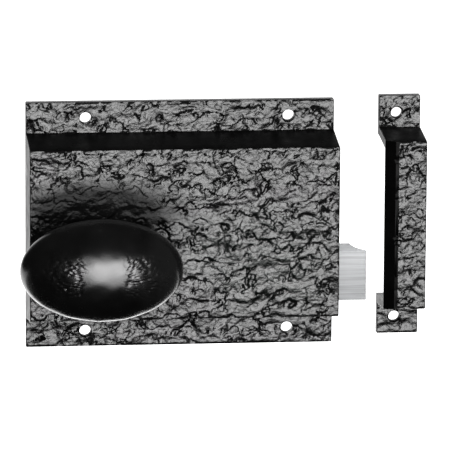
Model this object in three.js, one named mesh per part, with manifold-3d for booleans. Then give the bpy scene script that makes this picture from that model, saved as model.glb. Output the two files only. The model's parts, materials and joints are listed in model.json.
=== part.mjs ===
// Rim night latch: a cast case that screws to the inside face of a door, with a sprung latch
// bolt worked by a turning oval knob, and the open box keep that the bolt shoots into.
//
// Millimetres. +X points from the case to the keep, the front faces -Y, and +Z is up. The
// door's face is the plane Y = 0, and the origin is the middle of the case's back.

import * as THREE from 'three';
import { mergeVertices } from 'three/addons/utils/BufferGeometryUtils.js';
import Module from 'manifold-3d';

const wasm = await Module();
wasm.setup();

// ---------------------------------------------------------------- driving dimensions

const GAP = 0.3;
const ROUND_SIDES = 32;
const SMALL_SIDES = 16;
const KNOB_SIDES = 36;
const KNOB_RINGS = 20;
const BEND_SEGMENTS = 4; // in each rounded corner of an outline
const ROUND_SEGMENTS = 2; // in each rounded end edge of an extrusion
const PAST = 2; // how far a cutter runs past the surface it cuts

const CASE_LENGTH = 127;
const CASE_HEIGHT = 102.6;
const CASE_DEPTH = 26.5;
const CASE_WALL = 3.3;
const CASE_DRAFT = 3.3; // how far the top and bottom walls lean in from flange to front
const FLANGE_HEIGHT = 12.5;
const FLANGE_THICKNESS = 4.5;
const EDGE_ROUND = 1.2;
const CASE_END_ROUND = 0.6;
const FIXING_HOLE_RADIUS = 2.4;
const FIXING_HOLE_X = [-39, 44.7];
const FIXING_HOLE_Z = 44.7;

const PLATE_THICKNESS = 2;
const PLATE_SCREW_PLACES = [[-57, 29.5], [57, 29.5], [57, -4], [-57, -29.5]];
const PLATE_SCREW_RADIUS = 1.5;
const PLATE_SCREW_LENGTH = 9;
const PLATE_HOLE_RADIUS = 7;
const PLATE_SCREW_SLOT = { width: 0.8, depth: 0.7 };
const BOSS_RADIUS = 4;
const SLOT_REACH = 3; // a slot cutter's half length, more than any head's radius

const BOLT_CENTRE_Z = -19.6;
const BOLT_HEIGHT = 20.6;
const BOLT_THICKNESS = 16;
const BOLT_BACK_Y = -4.5;
const BOLT_PROJECTION = 12;
const BOLT_REAR_X = 35;
const BEVEL_LENGTH = 5;
const NOSE_THICKNESS = 2.2;
const BOLT_CHAMFER = 0.4;
const BEVEL_HOLLOW = { x: 0.6, y: 4 }; // from the bevel's root and the nose to its curve's middle

const SPINDLE_X = -36;
const SPINDLE_Z = -9.5;
const SPINDLE_RADIUS = 5;
const SPINDLE_FLATS = 7.6;
const SPINDLE_BACK_Y = -2.4;
const SPINDLE_CHAMFER = 0.5;
const CYLINDER_SLOT = { width: 2.6, height: 7, depth: 10 };

const ARM_REACH = 15;
const ARM_LEAN = THREE.MathUtils.degToRad(24.2);
const ARM_TIP_RADIUS = 2.6;
const ARM_WIDTH = 3.4;
const HUB_RADIUS = 8;

const KNOB_LENGTH = 66.2;
const KNOB_HEIGHT = 41.6;
const KNOB_DEPTH = 35;
const KNOB_CENTRE_Y = -48.5;
const NECK_RADIUS = 8.5;
const GRUB_Y = -30.2;
const GRUB_RADIUS = 1.7;
const GRUB_SLOT = { width: 0.6, depth: 0.8 };
const BORE_PAST_CENTRE = 1.5; // how far the spindle's bore runs past the middle of the knob

const BUSH_RADIUS = 7.5;
const BUSH_FLANGE_RADIUS = 10.5;
const BUSH_FLANGE_THICKNESS = 2;
const BUSH_PROUD = 0.8;
const WASHER_THICKNESS = 1;
const WASHER_OVERHANG = 1;
const CLIP_GROOVE_RADIUS = 4;
const CLIP_THICKNESS = 0.8;
const CLIP_WIDTH = 1.6;
const CLIP_BACK_Y = -3.1;
const CLIP_MOUTH = 0.5; // half the angle of the clip's opening, in radians

const TAIL_THICKNESS = 4;
const TAIL_LOW_Z = -32;
const TAIL_TOP_Z = -22;
const TAIL_END_X = -38.5;
const TAIL_ROOT_X = 46.7;
const TAIL_ROOT_TOP_Z = -14.5;
const TAIL_ROOT_LOW_Z = -28.5;
const TAIL_LOW_STEP_X = [16, 24]; // where the tail widens to its root
const TAIL_TOP_STEP_X = [14, 22];
const TAIL_CORNER_RADIUS = 1;
const NOTCH_FLOOR_Z = -28;
const RIVET_RADIUS = 1.5;
const RIVET_X = 41;
const RIVET_Z = [-18, -25];
const RIVET_END_Y = -11.5;
const RIVET_HEAD = [[2.8, 0], [2.4, 0.7], [1.3, 1.1], [0, 1.2]]; // radius, height over its seat

const SPRING_Y = -15;
const SPRING_RADIUS = 4;
const SPRING_WIRE_RADIUS = 0.55;
const SPRING_TURNS = 9;
const SPRING_STEPS_PER_TURN = 14;
const CLOSED_PITCH = 1.32; // rise of each end turn, a little more than the wire's thickness
const ROD_RADIUS = 1.7;
const ROD_END_X = -12;
const ROD_ROOT_X = 43;

const STRAP_THICKNESS = 1.5;
const BRACKET_THICKNESS = 2.4;
const BRACKET_TOP_Z = -4;
const BRACKET_LOW_Z = -26;
const BRACKET_FRONT_Y = -20;
const BRACKET_STEP = { y: -10, z: -17 }; // corner that clears the bolt's tail
const BRACKET_CORNER_RADIUS = 1.5;
const BRACKET_FOOT_END_X = 14;
const BRACKET_FOOT_LOW_Z = -14;
const BRACKET_SCREW_PLACES = [[6.2, -9], [11.4, -9]];
const GUIDE_X = [-20, -9.6];
const GUIDE_TOP_Z = -9;
const GUIDE_BEND_RADIUS = 1;
const GUIDE_SCREW_PLACES = [[-17.5, -13], [-12.1, -13]];
const SMALL_SCREW_RADIUS = 1.2;
const SMALL_SCREW_HEAD = [[0, 1.3], [1.5, 1.2], [2.2, 0.6], [2.2, 0]]; // radius, height
const SMALL_SCREW_SLOT = { width: 0.6, floor: 0.7 }; // the slot's floor is this far over the seat

const KEEP_LEFT_X = 82.3;
const KEEP_WIDTH = 17;
const KEEP_HEIGHT = 100.4;
const KEEP_CENTRE_Z = 2.2;
const KEEP_WALL = 3.5;
const KEEP_END_ROUND = 0.4;
const KEEP_DRAFT = 2;
const KEEP_FLANGE_HEIGHT = 13;
const KEEP_HOLE_RADIUS = 2.3;
const KEEP_HOLE_X = 89.5;
const KEEP_HOLE_SPACING = 86;
const LEAD_IN_WIDTH = 4.2;
const LEAD_IN_DROP = 1.7;
const LEDGE_WIDTH = 1.4;
const LEDGE_DROP = 0.6;

// ---------------------------------------------------------------- materials

function metal(color, roughness, metalness) {
  return new THREE.MeshStandardMaterial({ color, roughness, metalness });
}

const blackIron = () => metal(0x1c1c1d, 0.45, 0.6);
const steel = () => metal(0xc4c5c6, 0.35, 0.9);
const darkSteel = () => metal(0x6a6c70, 0.45, 0.9);
const springSteel = () => metal(0x8d9096, 0.3, 1);
const brass = () => metal(0xb8974f, 0.35, 1);

// ---------------------------------------------------------------- solids

// Manifold solid of a closed three.js geometry.
function solid(geometry) {
  const bare = geometry.clone();
  bare.deleteAttribute('normal');
  bare.deleteAttribute('uv');
  const merged = mergeVertices(bare);
  return new wasm.Manifold(new wasm.Mesh({
    numProp: 3,
    vertProperties: new Float32Array(merged.attributes.position.array),
    triVerts: new Uint32Array(merged.index.array),
  }));
}

// Three.js geometry of a manifold solid.
function geometryOf(manifold) {
  const mesh = manifold.getMesh();
  const geometry = new THREE.BufferGeometry();
  geometry.setAttribute('position', new THREE.BufferAttribute(mesh.vertProperties, 3));
  geometry.setIndex(new THREE.BufferAttribute(mesh.triVerts, 1));
  return geometry;
}

// First geometry with the others joined on, as one solid.
function joined(first, ...others) {
  return others.reduce((sum, geometry) => sum.add(solid(geometry)), solid(first));
}

// Manifold solid with each geometry cut away.
function cut(manifold, ...cutters) {
  return cutters.reduce((rest, geometry) => rest.subtract(solid(geometry)), manifold);
}

// Closed outline through corners [x, y, radius], each corner rounded by its radius.
function outline(corners) {
  const shape = new THREE.Shape();
  corners.forEach(([x, y, radius = 0], i) => {
    const corner = new THREE.Vector2(x, y);
    const before = new THREE.Vector2(...corners.at(i - 1));
    const after = new THREE.Vector2(...corners[(i + 1) % corners.length]);
    const enter = before.sub(corner).setLength(radius).add(corner);
    const leave = after.sub(corner).setLength(radius).add(corner);
    if (i === 0) shape.moveTo(enter.x, enter.y);
    else shape.lineTo(enter.x, enter.y);
    if (radius > 0) shape.quadraticCurveTo(x, y, leave.x, leave.y);
  });
  shape.closePath();
  return shape;
}

// Extrusion of a shape between two levels, with its end edges rounded inside the outline.
function extrusion(shape, from, to, round = 0) {
  const geometry = new THREE.ExtrudeGeometry(shape, {
    depth: to - from - 2 * round,
    bevelEnabled: round > 0,
    bevelThickness: round,
    bevelSize: round,
    bevelOffset: -round,
    bevelSegments: ROUND_SEGMENTS,
    curveSegments: BEND_SEGMENTS,
  });
  return geometry.translate(0, 0, from + round);
}

// Shape drawn in X and Y, extruded upwards.
function planExtrusion(shape, lowZ, highZ) {
  return extrusion(shape, lowZ, highZ);
}

// Shape drawn in Y and Z, extruded along X.
function sideExtrusion(shape, lowX, highX, round = 0) {
  const turn = new THREE.Matrix4().makeBasis(
    new THREE.Vector3(0, 1, 0),
    new THREE.Vector3(0, 0, 1),
    new THREE.Vector3(1, 0, 0),
  );
  return extrusion(shape, lowX, highX, round).applyMatrix4(turn);
}

// Shape drawn in X and Z, extruded from its back Y to its front Y.
function frontExtrusion(shape, backY, frontY) {
  return extrusion(shape, -backY, -frontY).rotateX(Math.PI / 2);
}

function box(lowX, highX, lowY, highY, lowZ, highZ) {
  const geometry = new THREE.BoxGeometry(highX - lowX, highY - lowY, highZ - lowZ);
  return geometry.translate((lowX + highX) / 2, (lowY + highY) / 2, (lowZ + highZ) / 2);
}

// Round bar along Y, from its back Y to its front Y.
function barY(radius, backY, frontY, x, z, sides = SMALL_SIDES) {
  const geometry = new THREE.CylinderGeometry(radius, radius, backY - frontY, sides);
  return geometry.translate(x, (backY + frontY) / 2, z);
}

// Round bar along X.
function barX(radius, lowX, highX, y, z, sides = SMALL_SIDES) {
  const geometry = new THREE.CylinderGeometry(radius, radius, highX - lowX, sides);
  return geometry.rotateZ(Math.PI / 2).translate((lowX + highX) / 2, y, z);
}

// Cutter for a screw's slot, along X.
function slotCutter(width, lowY, highY, x, z) {
  return box(x - SLOT_REACH, x + SLOT_REACH, lowY, highY, z - width / 2, z + width / 2);
}

// Solid turned about a line along Y, from a profile of [radius, y] that rises up its outside.
function turnedY(profile, x, z, sides = SMALL_SIDES) {
  const points = profile.map(([radius, y]) => new THREE.Vector2(radius, y));
  return new THREE.LatheGeometry(points, sides).translate(x, 0, z);
}

// ---------------------------------------------------------------- case and back plate

const FRONT_Y = -CASE_DEPTH;
const CASE_END_X = CASE_LENGTH / 2;
const INNER_FRONT_Y = FRONT_Y + CASE_WALL;
const PLATE_FRONT_Y = -PLATE_THICKNESS;
const BOLT_FRONT_Y = BOLT_BACK_Y - BOLT_THICKNESS;
const BOLT_LOW_Z = BOLT_CENTRE_Z - BOLT_HEIGHT / 2;
const BOLT_TOP_Z = BOLT_CENTRE_Z + BOLT_HEIGHT / 2;

// Hat section of a flanged box casting in Y and Z.
function hatSection(height, flangeHeight, draft, middleZ) {
  const rim = height / 2;
  const base = rim - flangeHeight;
  const front = base - draft;
  return outline([
    [0, middleZ - rim],
    [-FLANGE_THICKNESS, middleZ - rim, EDGE_ROUND],
    [-FLANGE_THICKNESS, middleZ - base],
    [FRONT_Y, middleZ - front, EDGE_ROUND],
    [FRONT_Y, middleZ + front, EDGE_ROUND],
    [-FLANGE_THICKNESS, middleZ + base],
    [-FLANGE_THICKNESS, middleZ + rim, EDGE_ROUND],
    [0, middleZ + rim],
  ]);
}

// Section of the hollow inside that casting, open at the back.
function hollowSection(height, flangeHeight, draft, middleZ, wall) {
  const back = height / 2 - flangeHeight - wall;
  const run = (CASE_DEPTH - wall - FLANGE_THICKNESS) / (CASE_DEPTH - FLANGE_THICKNESS);
  const front = back - draft * run;
  return outline([
    [PAST, middleZ - back],
    [-FLANGE_THICKNESS, middleZ - back],
    [FRONT_Y + wall, middleZ - front],
    [FRONT_Y + wall, middleZ + front],
    [-FLANGE_THICKNESS, middleZ + back],
    [PAST, middleZ + back],
  ]);
}

function caseBosses() {
  const rootY = (FRONT_Y + INNER_FRONT_Y) / 2;
  return PLATE_SCREW_PLACES.map(([x, z]) => barY(BOSS_RADIUS, PLATE_FRONT_Y - GAP, rootY, x, z));
}

function latchCase() {
  const section = hatSection(CASE_HEIGHT, FLANGE_HEIGHT, CASE_DRAFT, 0);
  const outside = sideExtrusion(section, -CASE_END_X, CASE_END_X, CASE_END_ROUND);
  const hollow = sideExtrusion(
    hollowSection(CASE_HEIGHT, FLANGE_HEIGHT, CASE_DRAFT, 0, CASE_WALL),
    -CASE_END_X + CASE_WALL,
    CASE_END_X - CASE_WALL,
  );
  const shell = cut(solid(outside), hollow);
  const bossed = caseBosses().reduce((sum, boss) => sum.add(solid(boss)), shell);
  const screwHoles = PLATE_SCREW_PLACES.map(([x, z]) => (
    barY(PLATE_SCREW_RADIUS + GAP, 0, -PLATE_SCREW_LENGTH - 2 * GAP, x, z)));
  const fixingHoles = FIXING_HOLE_X.flatMap((x) => [-FIXING_HOLE_Z, FIXING_HOLE_Z].map((z) => (
    barY(FIXING_HOLE_RADIUS, PAST, -FLANGE_THICKNESS - PAST, x, z))));
  const boltWindow = box(
    CASE_END_X - CASE_WALL - PAST,
    CASE_END_X + PAST,
    BOLT_FRONT_Y - GAP,
    BOLT_BACK_Y + GAP,
    BOLT_LOW_Z - GAP,
    BOLT_TOP_Z + GAP,
  );
  const bushHole = barY(
    BUSH_RADIUS + GAP,
    INNER_FRONT_Y + PAST,
    FRONT_Y - PAST,
    SPINDLE_X,
    SPINDLE_Z,
    ROUND_SIDES,
  );
  return geometryOf(cut(bossed, ...screwHoles, ...fixingHoles, boltWindow, bushHole));
}

function backPlate() {
  const halfLength = CASE_END_X - CASE_WALL - GAP;
  const halfHeight = CASE_HEIGHT / 2 - FLANGE_HEIGHT - CASE_WALL - GAP;
  const blank = box(-halfLength, halfLength, PLATE_FRONT_Y, 0, -halfHeight, halfHeight);
  const spindleHole = barY(
    PLATE_HOLE_RADIUS,
    PAST,
    PLATE_FRONT_Y - PAST,
    SPINDLE_X,
    SPINDLE_Z,
    ROUND_SIDES,
  );
  const sinks = PLATE_SCREW_PLACES.map(([x, z]) => turnedY([
    [0, PLATE_FRONT_Y - PAST],
    [PLATE_SCREW_RADIUS + GAP, PLATE_FRONT_Y - PAST],
    [PLATE_SCREW_RADIUS + GAP, PLATE_FRONT_Y + GAP],
    [2 * PLATE_SCREW_RADIUS + GAP, 0],
    [2 * PLATE_SCREW_RADIUS + GAP, PAST],
    [0, PAST],
  ], x, z));
  const taps = [...BRACKET_SCREW_PLACES, ...GUIDE_SCREW_PLACES].map(([x, z]) => (
    barY(SMALL_SCREW_RADIUS + GAP, PAST, PLATE_FRONT_Y - PAST, x, z)));
  return geometryOf(cut(solid(blank), spindleHole, ...sinks, ...taps));
}

function plateScrew(x, z) {
  const headY = -GAP;
  const neckY = PLATE_FRONT_Y + GAP;
  const body = turnedY([
    [0, -PLATE_SCREW_LENGTH],
    [PLATE_SCREW_RADIUS, -PLATE_SCREW_LENGTH],
    [PLATE_SCREW_RADIUS, neckY],
    [2 * PLATE_SCREW_RADIUS - GAP, headY],
    [0, headY],
  ], x, z);
  const slot = slotCutter(PLATE_SCREW_SLOT.width, headY - PLATE_SCREW_SLOT.depth, PAST, x, z);
  return geometryOf(cut(solid(body), slot));
}

// ---------------------------------------------------------------- bolt

// Hollow bevel that runs from the bolt's back to its blunt nose, in X and Y.
function boltPlan() {
  const tipX = CASE_END_X + BOLT_PROJECTION;
  const bevelX = tipX - BEVEL_LENGTH;
  const noseY = BOLT_FRONT_Y + NOSE_THICKNESS;
  const shape = new THREE.Shape();
  shape.moveTo(BOLT_REAR_X, BOLT_FRONT_Y);
  shape.lineTo(tipX - BOLT_CHAMFER, BOLT_FRONT_Y);
  shape.lineTo(tipX, BOLT_FRONT_Y + BOLT_CHAMFER);
  shape.lineTo(tipX, noseY);
  shape.quadraticCurveTo(
    bevelX + BEVEL_HOLLOW.x,
    noseY + BEVEL_HOLLOW.y,
    bevelX,
    BOLT_BACK_Y - BOLT_CHAMFER,
  );
  shape.lineTo(bevelX - BOLT_CHAMFER, BOLT_BACK_Y);
  shape.lineTo(BOLT_REAR_X, BOLT_BACK_Y);
  shape.closePath();
  return shape;
}

const TAIL_FRONT_Y = BOLT_BACK_Y - TAIL_THICKNESS;

function latchBolt() {
  const block = planExtrusion(boltPlan(), BOLT_LOW_Z, BOLT_TOP_Z);
  const rebate = box(
    BOLT_REAR_X - PAST,
    TAIL_ROOT_X + GAP,
    TAIL_FRONT_Y - GAP,
    BOLT_BACK_Y + PAST,
    TAIL_ROOT_LOW_Z - GAP,
    TAIL_ROOT_TOP_Z + GAP,
  );
  const rivetHoles = RIVET_Z.map((z) => (
    barY(RIVET_RADIUS + GAP, TAIL_FRONT_Y, RIVET_END_Y - GAP, RIVET_X, z)));
  const rodHole = barX(
    ROD_RADIUS + GAP,
    BOLT_REAR_X - PAST,
    ROD_ROOT_X + GAP,
    SPRING_Y,
    BOLT_CENTRE_Z,
  );
  return geometryOf(cut(solid(block), rebate, ...rivetHoles, rodHole));
}

// Flat tail with the notch that the follower's arm works in.
function boltTail() {
  const notchX = SPINDLE_X + ARM_REACH * Math.sin(ARM_LEAN);
  const notchHalf = ARM_TIP_RADIUS + GAP;
  const plate = frontExtrusion(outline([
    [TAIL_END_X, TAIL_LOW_Z, TAIL_CORNER_RADIUS],
    [TAIL_LOW_STEP_X[0], TAIL_LOW_Z],
    [TAIL_LOW_STEP_X[1], TAIL_ROOT_LOW_Z],
    [TAIL_ROOT_X, TAIL_ROOT_LOW_Z],
    [TAIL_ROOT_X, TAIL_ROOT_TOP_Z],
    [TAIL_TOP_STEP_X[1], TAIL_ROOT_TOP_Z],
    [TAIL_TOP_STEP_X[0], TAIL_TOP_Z],
    [notchX + notchHalf, TAIL_TOP_Z],
    [notchX + notchHalf, NOTCH_FLOOR_Z],
    [notchX - notchHalf, NOTCH_FLOOR_Z],
    [notchX - notchHalf, TAIL_TOP_Z],
    [TAIL_END_X, TAIL_TOP_Z, TAIL_CORNER_RADIUS],
  ]), BOLT_BACK_Y, TAIL_FRONT_Y);
  const holes = RIVET_Z.map((z) => (
    barY(RIVET_RADIUS + GAP, BOLT_BACK_Y + PAST, TAIL_FRONT_Y - PAST, RIVET_X, z)));
  return geometryOf(cut(solid(plate), ...holes));
}

function boltRivet(z) {
  const seatY = BOLT_BACK_Y + GAP;
  return turnedY([
    [0, RIVET_END_Y],
    [RIVET_RADIUS, RIVET_END_Y],
    [RIVET_RADIUS, seatY],
    ...RIVET_HEAD.map(([radius, height]) => [radius, seatY + height]),
  ], RIVET_X, z);
}

function springGuideRod() {
  return barX(ROD_RADIUS, ROD_END_X, ROD_ROOT_X, SPRING_Y, BOLT_CENTRE_Z);
}

// Centre line of a compression spring along X, with a closed turn at each end.
class SpringCurve extends THREE.Curve {
  getPoint(t, target = new THREE.Vector3()) {
    const lowX = BRACKET_THICKNESS + GAP + SPRING_WIRE_RADIUS;
    const highX = BOLT_REAR_X - GAP - SPRING_WIRE_RADIUS;
    const turn = t * SPRING_TURNS;
    const openPitch = (highX - lowX - 2 * CLOSED_PITCH) / (SPRING_TURNS - 2);
    const open = THREE.MathUtils.clamp(turn - 1, 0, SPRING_TURNS - 2);
    const closed = turn - open;
    const angle = 2 * Math.PI * turn;
    return target.set(
      lowX + closed * CLOSED_PITCH + open * openPitch,
      SPRING_Y + SPRING_RADIUS * Math.cos(angle),
      BOLT_CENTRE_Z + SPRING_RADIUS * Math.sin(angle),
    );
  }
}

function boltSpring() {
  const wire = new THREE.Shape();
  wire.absarc(0, 0, SPRING_WIRE_RADIUS, 0, 2 * Math.PI);
  return new THREE.ExtrudeGeometry(wire, {
    steps: SPRING_STEPS_PER_TURN * SPRING_TURNS,
    curveSegments: 3,
    extrudePath: new SpringCurve(),
  });
}

// ---------------------------------------------------------------- brackets inside the case

const FOOT_BACK_Y = PLATE_FRONT_Y - GAP;
const FOOT_FRONT_Y = FOOT_BACK_Y - STRAP_THICKNESS;

function footHoles(places) {
  return places.map(([x, z]) => (
    barY(SMALL_SCREW_RADIUS + GAP, FOOT_BACK_Y + PAST, FOOT_FRONT_Y - PAST, x, z)));
}

// Bracket that the spring pushes against, with a hole for the guide rod.
function springBracket() {
  const upright = sideExtrusion(outline([
    [FOOT_BACK_Y, BRACKET_STEP.z],
    [BRACKET_STEP.y, BRACKET_STEP.z],
    [BRACKET_STEP.y, BRACKET_LOW_Z],
    [BRACKET_FRONT_Y, BRACKET_LOW_Z, BRACKET_CORNER_RADIUS],
    [BRACKET_FRONT_Y, BRACKET_TOP_Z, BRACKET_CORNER_RADIUS],
    [FOOT_BACK_Y, BRACKET_TOP_Z],
  ]), 0, BRACKET_THICKNESS);
  const foot = box(
    BRACKET_THICKNESS / 2,
    BRACKET_FOOT_END_X,
    FOOT_FRONT_Y,
    FOOT_BACK_Y,
    BRACKET_FOOT_LOW_Z,
    BRACKET_TOP_Z,
  );
  const rodHole = barX(
    ROD_RADIUS + GAP,
    -PAST,
    BRACKET_THICKNESS + PAST,
    SPRING_Y,
    BOLT_CENTRE_Z,
  );
  return geometryOf(cut(joined(upright, foot), rodHole, ...footHoles(BRACKET_SCREW_PLACES)));
}

// Bent strap that holds the tail against the back plate.
function tailGuide() {
  const innerTop = TAIL_TOP_Z + GAP;
  const innerLow = TAIL_LOW_Z - GAP;
  const innerFront = TAIL_FRONT_Y - GAP;
  const strap = sideExtrusion(outline([
    [FOOT_BACK_Y, GUIDE_TOP_Z],
    [FOOT_FRONT_Y, GUIDE_TOP_Z],
    [FOOT_FRONT_Y, innerTop + STRAP_THICKNESS],
    [innerFront - STRAP_THICKNESS, innerTop + STRAP_THICKNESS, GUIDE_BEND_RADIUS],
    [innerFront - STRAP_THICKNESS, innerLow - STRAP_THICKNESS, GUIDE_BEND_RADIUS],
    [FOOT_BACK_Y, innerLow - STRAP_THICKNESS],
    [FOOT_BACK_Y, innerLow],
    [innerFront, innerLow],
    [innerFront, innerTop],
    [FOOT_BACK_Y, innerTop],
  ]), ...GUIDE_X);
  return geometryOf(cut(solid(strap), ...footHoles(GUIDE_SCREW_PLACES)));
}

function smallScrew(x, z) {
  const seatY = FOOT_FRONT_Y - GAP;
  const body = turnedY([
    ...SMALL_SCREW_HEAD.map(([radius, height]) => [radius, seatY - height]),
    [SMALL_SCREW_RADIUS, seatY],
    [SMALL_SCREW_RADIUS, -GAP],
    [0, -GAP],
  ], x, z);
  const floorY = seatY - SMALL_SCREW_SLOT.floor;
  const slot = slotCutter(SMALL_SCREW_SLOT.width, seatY - PAST, floorY, x, z);
  return geometryOf(cut(solid(body), slot));
}

// ---------------------------------------------------------------- knob, spindle and follower

const NECK_BACK_Y = FRONT_Y - BUSH_PROUD - GAP;
const BUSH_FLANGE_FRONT_Y = INNER_FRONT_Y + GAP;
const BUSH_BACK_Y = BUSH_FLANGE_FRONT_Y + BUSH_FLANGE_THICKNESS;
const WASHER_BACK_Y = BUSH_BACK_Y + GAP + WASHER_THICKNESS;
const HUB_FRONT_Y = WASHER_BACK_Y + GAP;
const HUB_BACK_Y = BOLT_BACK_Y + GAP;
const BORE_END_Y = KNOB_CENTRE_Y - BORE_PAST_CENTRE;

// Ring about the spindle's line, between two radii.
function ring(innerRadius, outerRadius, backY, frontY) {
  return turnedY([
    [innerRadius, frontY],
    [outerRadius, frontY],
    [outerRadius, backY],
    [innerRadius, backY],
    [innerRadius, frontY],
  ], SPINDLE_X, SPINDLE_Z, ROUND_SIDES);
}

// Oval knob: an ellipsoid on a short neck, bored from behind for the spindle.
function knob() {
  const oval = new THREE.SphereGeometry(1, KNOB_SIDES, KNOB_RINGS)
    .rotateX(Math.PI / 2)
    .scale(KNOB_LENGTH / 2, KNOB_DEPTH / 2, KNOB_HEIGHT / 2)
    .translate(SPINDLE_X, KNOB_CENTRE_Y, SPINDLE_Z);
  const neck = barY(NECK_RADIUS, NECK_BACK_Y, KNOB_CENTRE_Y, SPINDLE_X, SPINDLE_Z, ROUND_SIDES);
  const bore = barY(
    SPINDLE_RADIUS + GAP,
    0,
    BORE_END_Y,
    SPINDLE_X,
    SPINDLE_Z,
    ROUND_SIDES,
  );
  const grubHole = new THREE.CylinderGeometry(
    GRUB_RADIUS + GAP,
    GRUB_RADIUS + GAP,
    NECK_RADIUS + PAST,
    SMALL_SIDES,
  )
    .rotateX(Math.PI / 2)
    .translate(SPINDLE_X, GRUB_Y, SPINDLE_Z - (NECK_RADIUS + PAST) / 2);
  return geometryOf(cut(joined(oval, neck), bore, grubHole));
}

function knobGrubScrew() {
  const innerZ = SPINDLE_Z - SPINDLE_RADIUS - GAP;
  const outerZ = SPINDLE_Z - NECK_RADIUS + GAP;
  const body = new THREE.CylinderGeometry(GRUB_RADIUS, GRUB_RADIUS, innerZ - outerZ, SMALL_SIDES)
    .rotateX(Math.PI / 2)
    .translate(SPINDLE_X, GRUB_Y, (innerZ + outerZ) / 2);
  const slot = box(
    SPINDLE_X - PAST,
    SPINDLE_X + PAST,
    GRUB_Y - GRUB_SLOT.width / 2,
    GRUB_Y + GRUB_SLOT.width / 2,
    outerZ - PAST,
    outerZ + GRUB_SLOT.depth,
  );
  return geometryOf(cut(solid(body), slot));
}

// Round spindle with two flats for the follower, a clip groove, and a slot in its back end for
// the flat tail bar of a rim cylinder.
function knobSpindle() {
  const groove = GAP / 2;
  const turned = turnedY([
    [0, BORE_END_Y + GAP],
    [SPINDLE_RADIUS - SPINDLE_CHAMFER, BORE_END_Y + GAP],
    [SPINDLE_RADIUS, BORE_END_Y + GAP + SPINDLE_CHAMFER],
    [SPINDLE_RADIUS, CLIP_BACK_Y - CLIP_THICKNESS - groove],
    [CLIP_GROOVE_RADIUS, CLIP_BACK_Y - CLIP_THICKNESS - groove],
    [CLIP_GROOVE_RADIUS, CLIP_BACK_Y + groove],
    [SPINDLE_RADIUS, CLIP_BACK_Y + groove],
    [SPINDLE_RADIUS, SPINDLE_BACK_Y],
    [0, SPINDLE_BACK_Y],
  ], SPINDLE_X, SPINDLE_Z, ROUND_SIDES);
  const flats = [-1, 1].map((side) => {
    const near = SPINDLE_X + side * (SPINDLE_FLATS / 2);
    const far = near + side * SPINDLE_RADIUS;
    return box(
      Math.min(near, far),
      Math.max(near, far),
      HUB_FRONT_Y,
      HUB_BACK_Y,
      SPINDLE_Z - SPINDLE_RADIUS,
      SPINDLE_Z + SPINDLE_RADIUS,
    );
  });
  const slot = box(
    SPINDLE_X - CYLINDER_SLOT.width / 2,
    SPINDLE_X + CYLINDER_SLOT.width / 2,
    SPINDLE_BACK_Y - CYLINDER_SLOT.depth,
    PAST,
    SPINDLE_Z - CYLINDER_SLOT.height / 2,
    SPINDLE_Z + CYLINDER_SLOT.height / 2,
  );
  return geometryOf(cut(solid(turned), ...flats, slot));
}

function spindleBush() {
  const barrelFrontY = FRONT_Y - BUSH_PROUD;
  return turnedY([
    [SPINDLE_RADIUS + GAP, barrelFrontY],
    [BUSH_RADIUS, barrelFrontY],
    [BUSH_RADIUS, BUSH_FLANGE_FRONT_Y],
    [BUSH_FLANGE_RADIUS, BUSH_FLANGE_FRONT_Y],
    [BUSH_FLANGE_RADIUS, BUSH_BACK_Y],
    [SPINDLE_RADIUS + GAP, BUSH_BACK_Y],
    [SPINDLE_RADIUS + GAP, barrelFrontY],
  ], SPINDLE_X, SPINDLE_Z, ROUND_SIDES);
}

// Hub on the spindle's flats, with the arm that draws the bolt's tail.
function follower() {
  const hub = barY(HUB_RADIUS, HUB_BACK_Y, HUB_FRONT_Y, 0, 0, ROUND_SIDES);
  const stem = box(
    -ARM_WIDTH / 2,
    ARM_WIDTH / 2,
    TAIL_FRONT_Y,
    BOLT_BACK_Y,
    -ARM_REACH,
    -HUB_RADIUS + PAST,
  );
  const tip = barY(ARM_TIP_RADIUS, BOLT_BACK_Y, TAIL_FRONT_Y, 0, -ARM_REACH, ROUND_SIDES);
  const bore = barY(SPINDLE_RADIUS + GAP, PAST, HUB_FRONT_Y - PAST, 0, 0, ROUND_SIDES);
  const flatHalf = SPINDLE_FLATS / 2 + GAP;
  const flatBand = box(
    -flatHalf,
    flatHalf,
    HUB_FRONT_Y - 2 * PAST,
    2 * PAST,
    -2 * SPINDLE_RADIUS,
    2 * SPINDLE_RADIUS,
  );
  const hole = solid(bore).intersect(solid(flatBand));
  const arm = joined(stem, tip);
  const leaning = geometryOf(arm).rotateY(-ARM_LEAN);
  const whole = joined(hub, leaning).subtract(hole);
  return geometryOf(whole).translate(SPINDLE_X, 0, SPINDLE_Z);
}

function followerWasher() {
  const frontY = WASHER_BACK_Y - WASHER_THICKNESS;
  return ring(SPINDLE_RADIUS + GAP, HUB_RADIUS + WASHER_OVERHANG, WASHER_BACK_Y, frontY);
}

// Open ring that snaps into the spindle's groove.
function spindleCirclip() {
  const start = Math.PI / 2 + CLIP_MOUTH;
  const end = Math.PI * 5 / 2 - CLIP_MOUTH;
  const shape = new THREE.Shape();
  shape.absarc(0, 0, SPINDLE_RADIUS + CLIP_WIDTH, start, end);
  shape.absarc(0, 0, CLIP_GROOVE_RADIUS + GAP, end, start, true);
  shape.closePath();
  const clip = new THREE.ExtrudeGeometry(shape, {
    depth: CLIP_THICKNESS,
    bevelEnabled: false,
    curveSegments: SMALL_SIDES,
  });
  return clip.rotateX(Math.PI / 2).translate(SPINDLE_X, CLIP_BACK_Y, SPINDLE_Z);
}

// ---------------------------------------------------------------- keep

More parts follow.
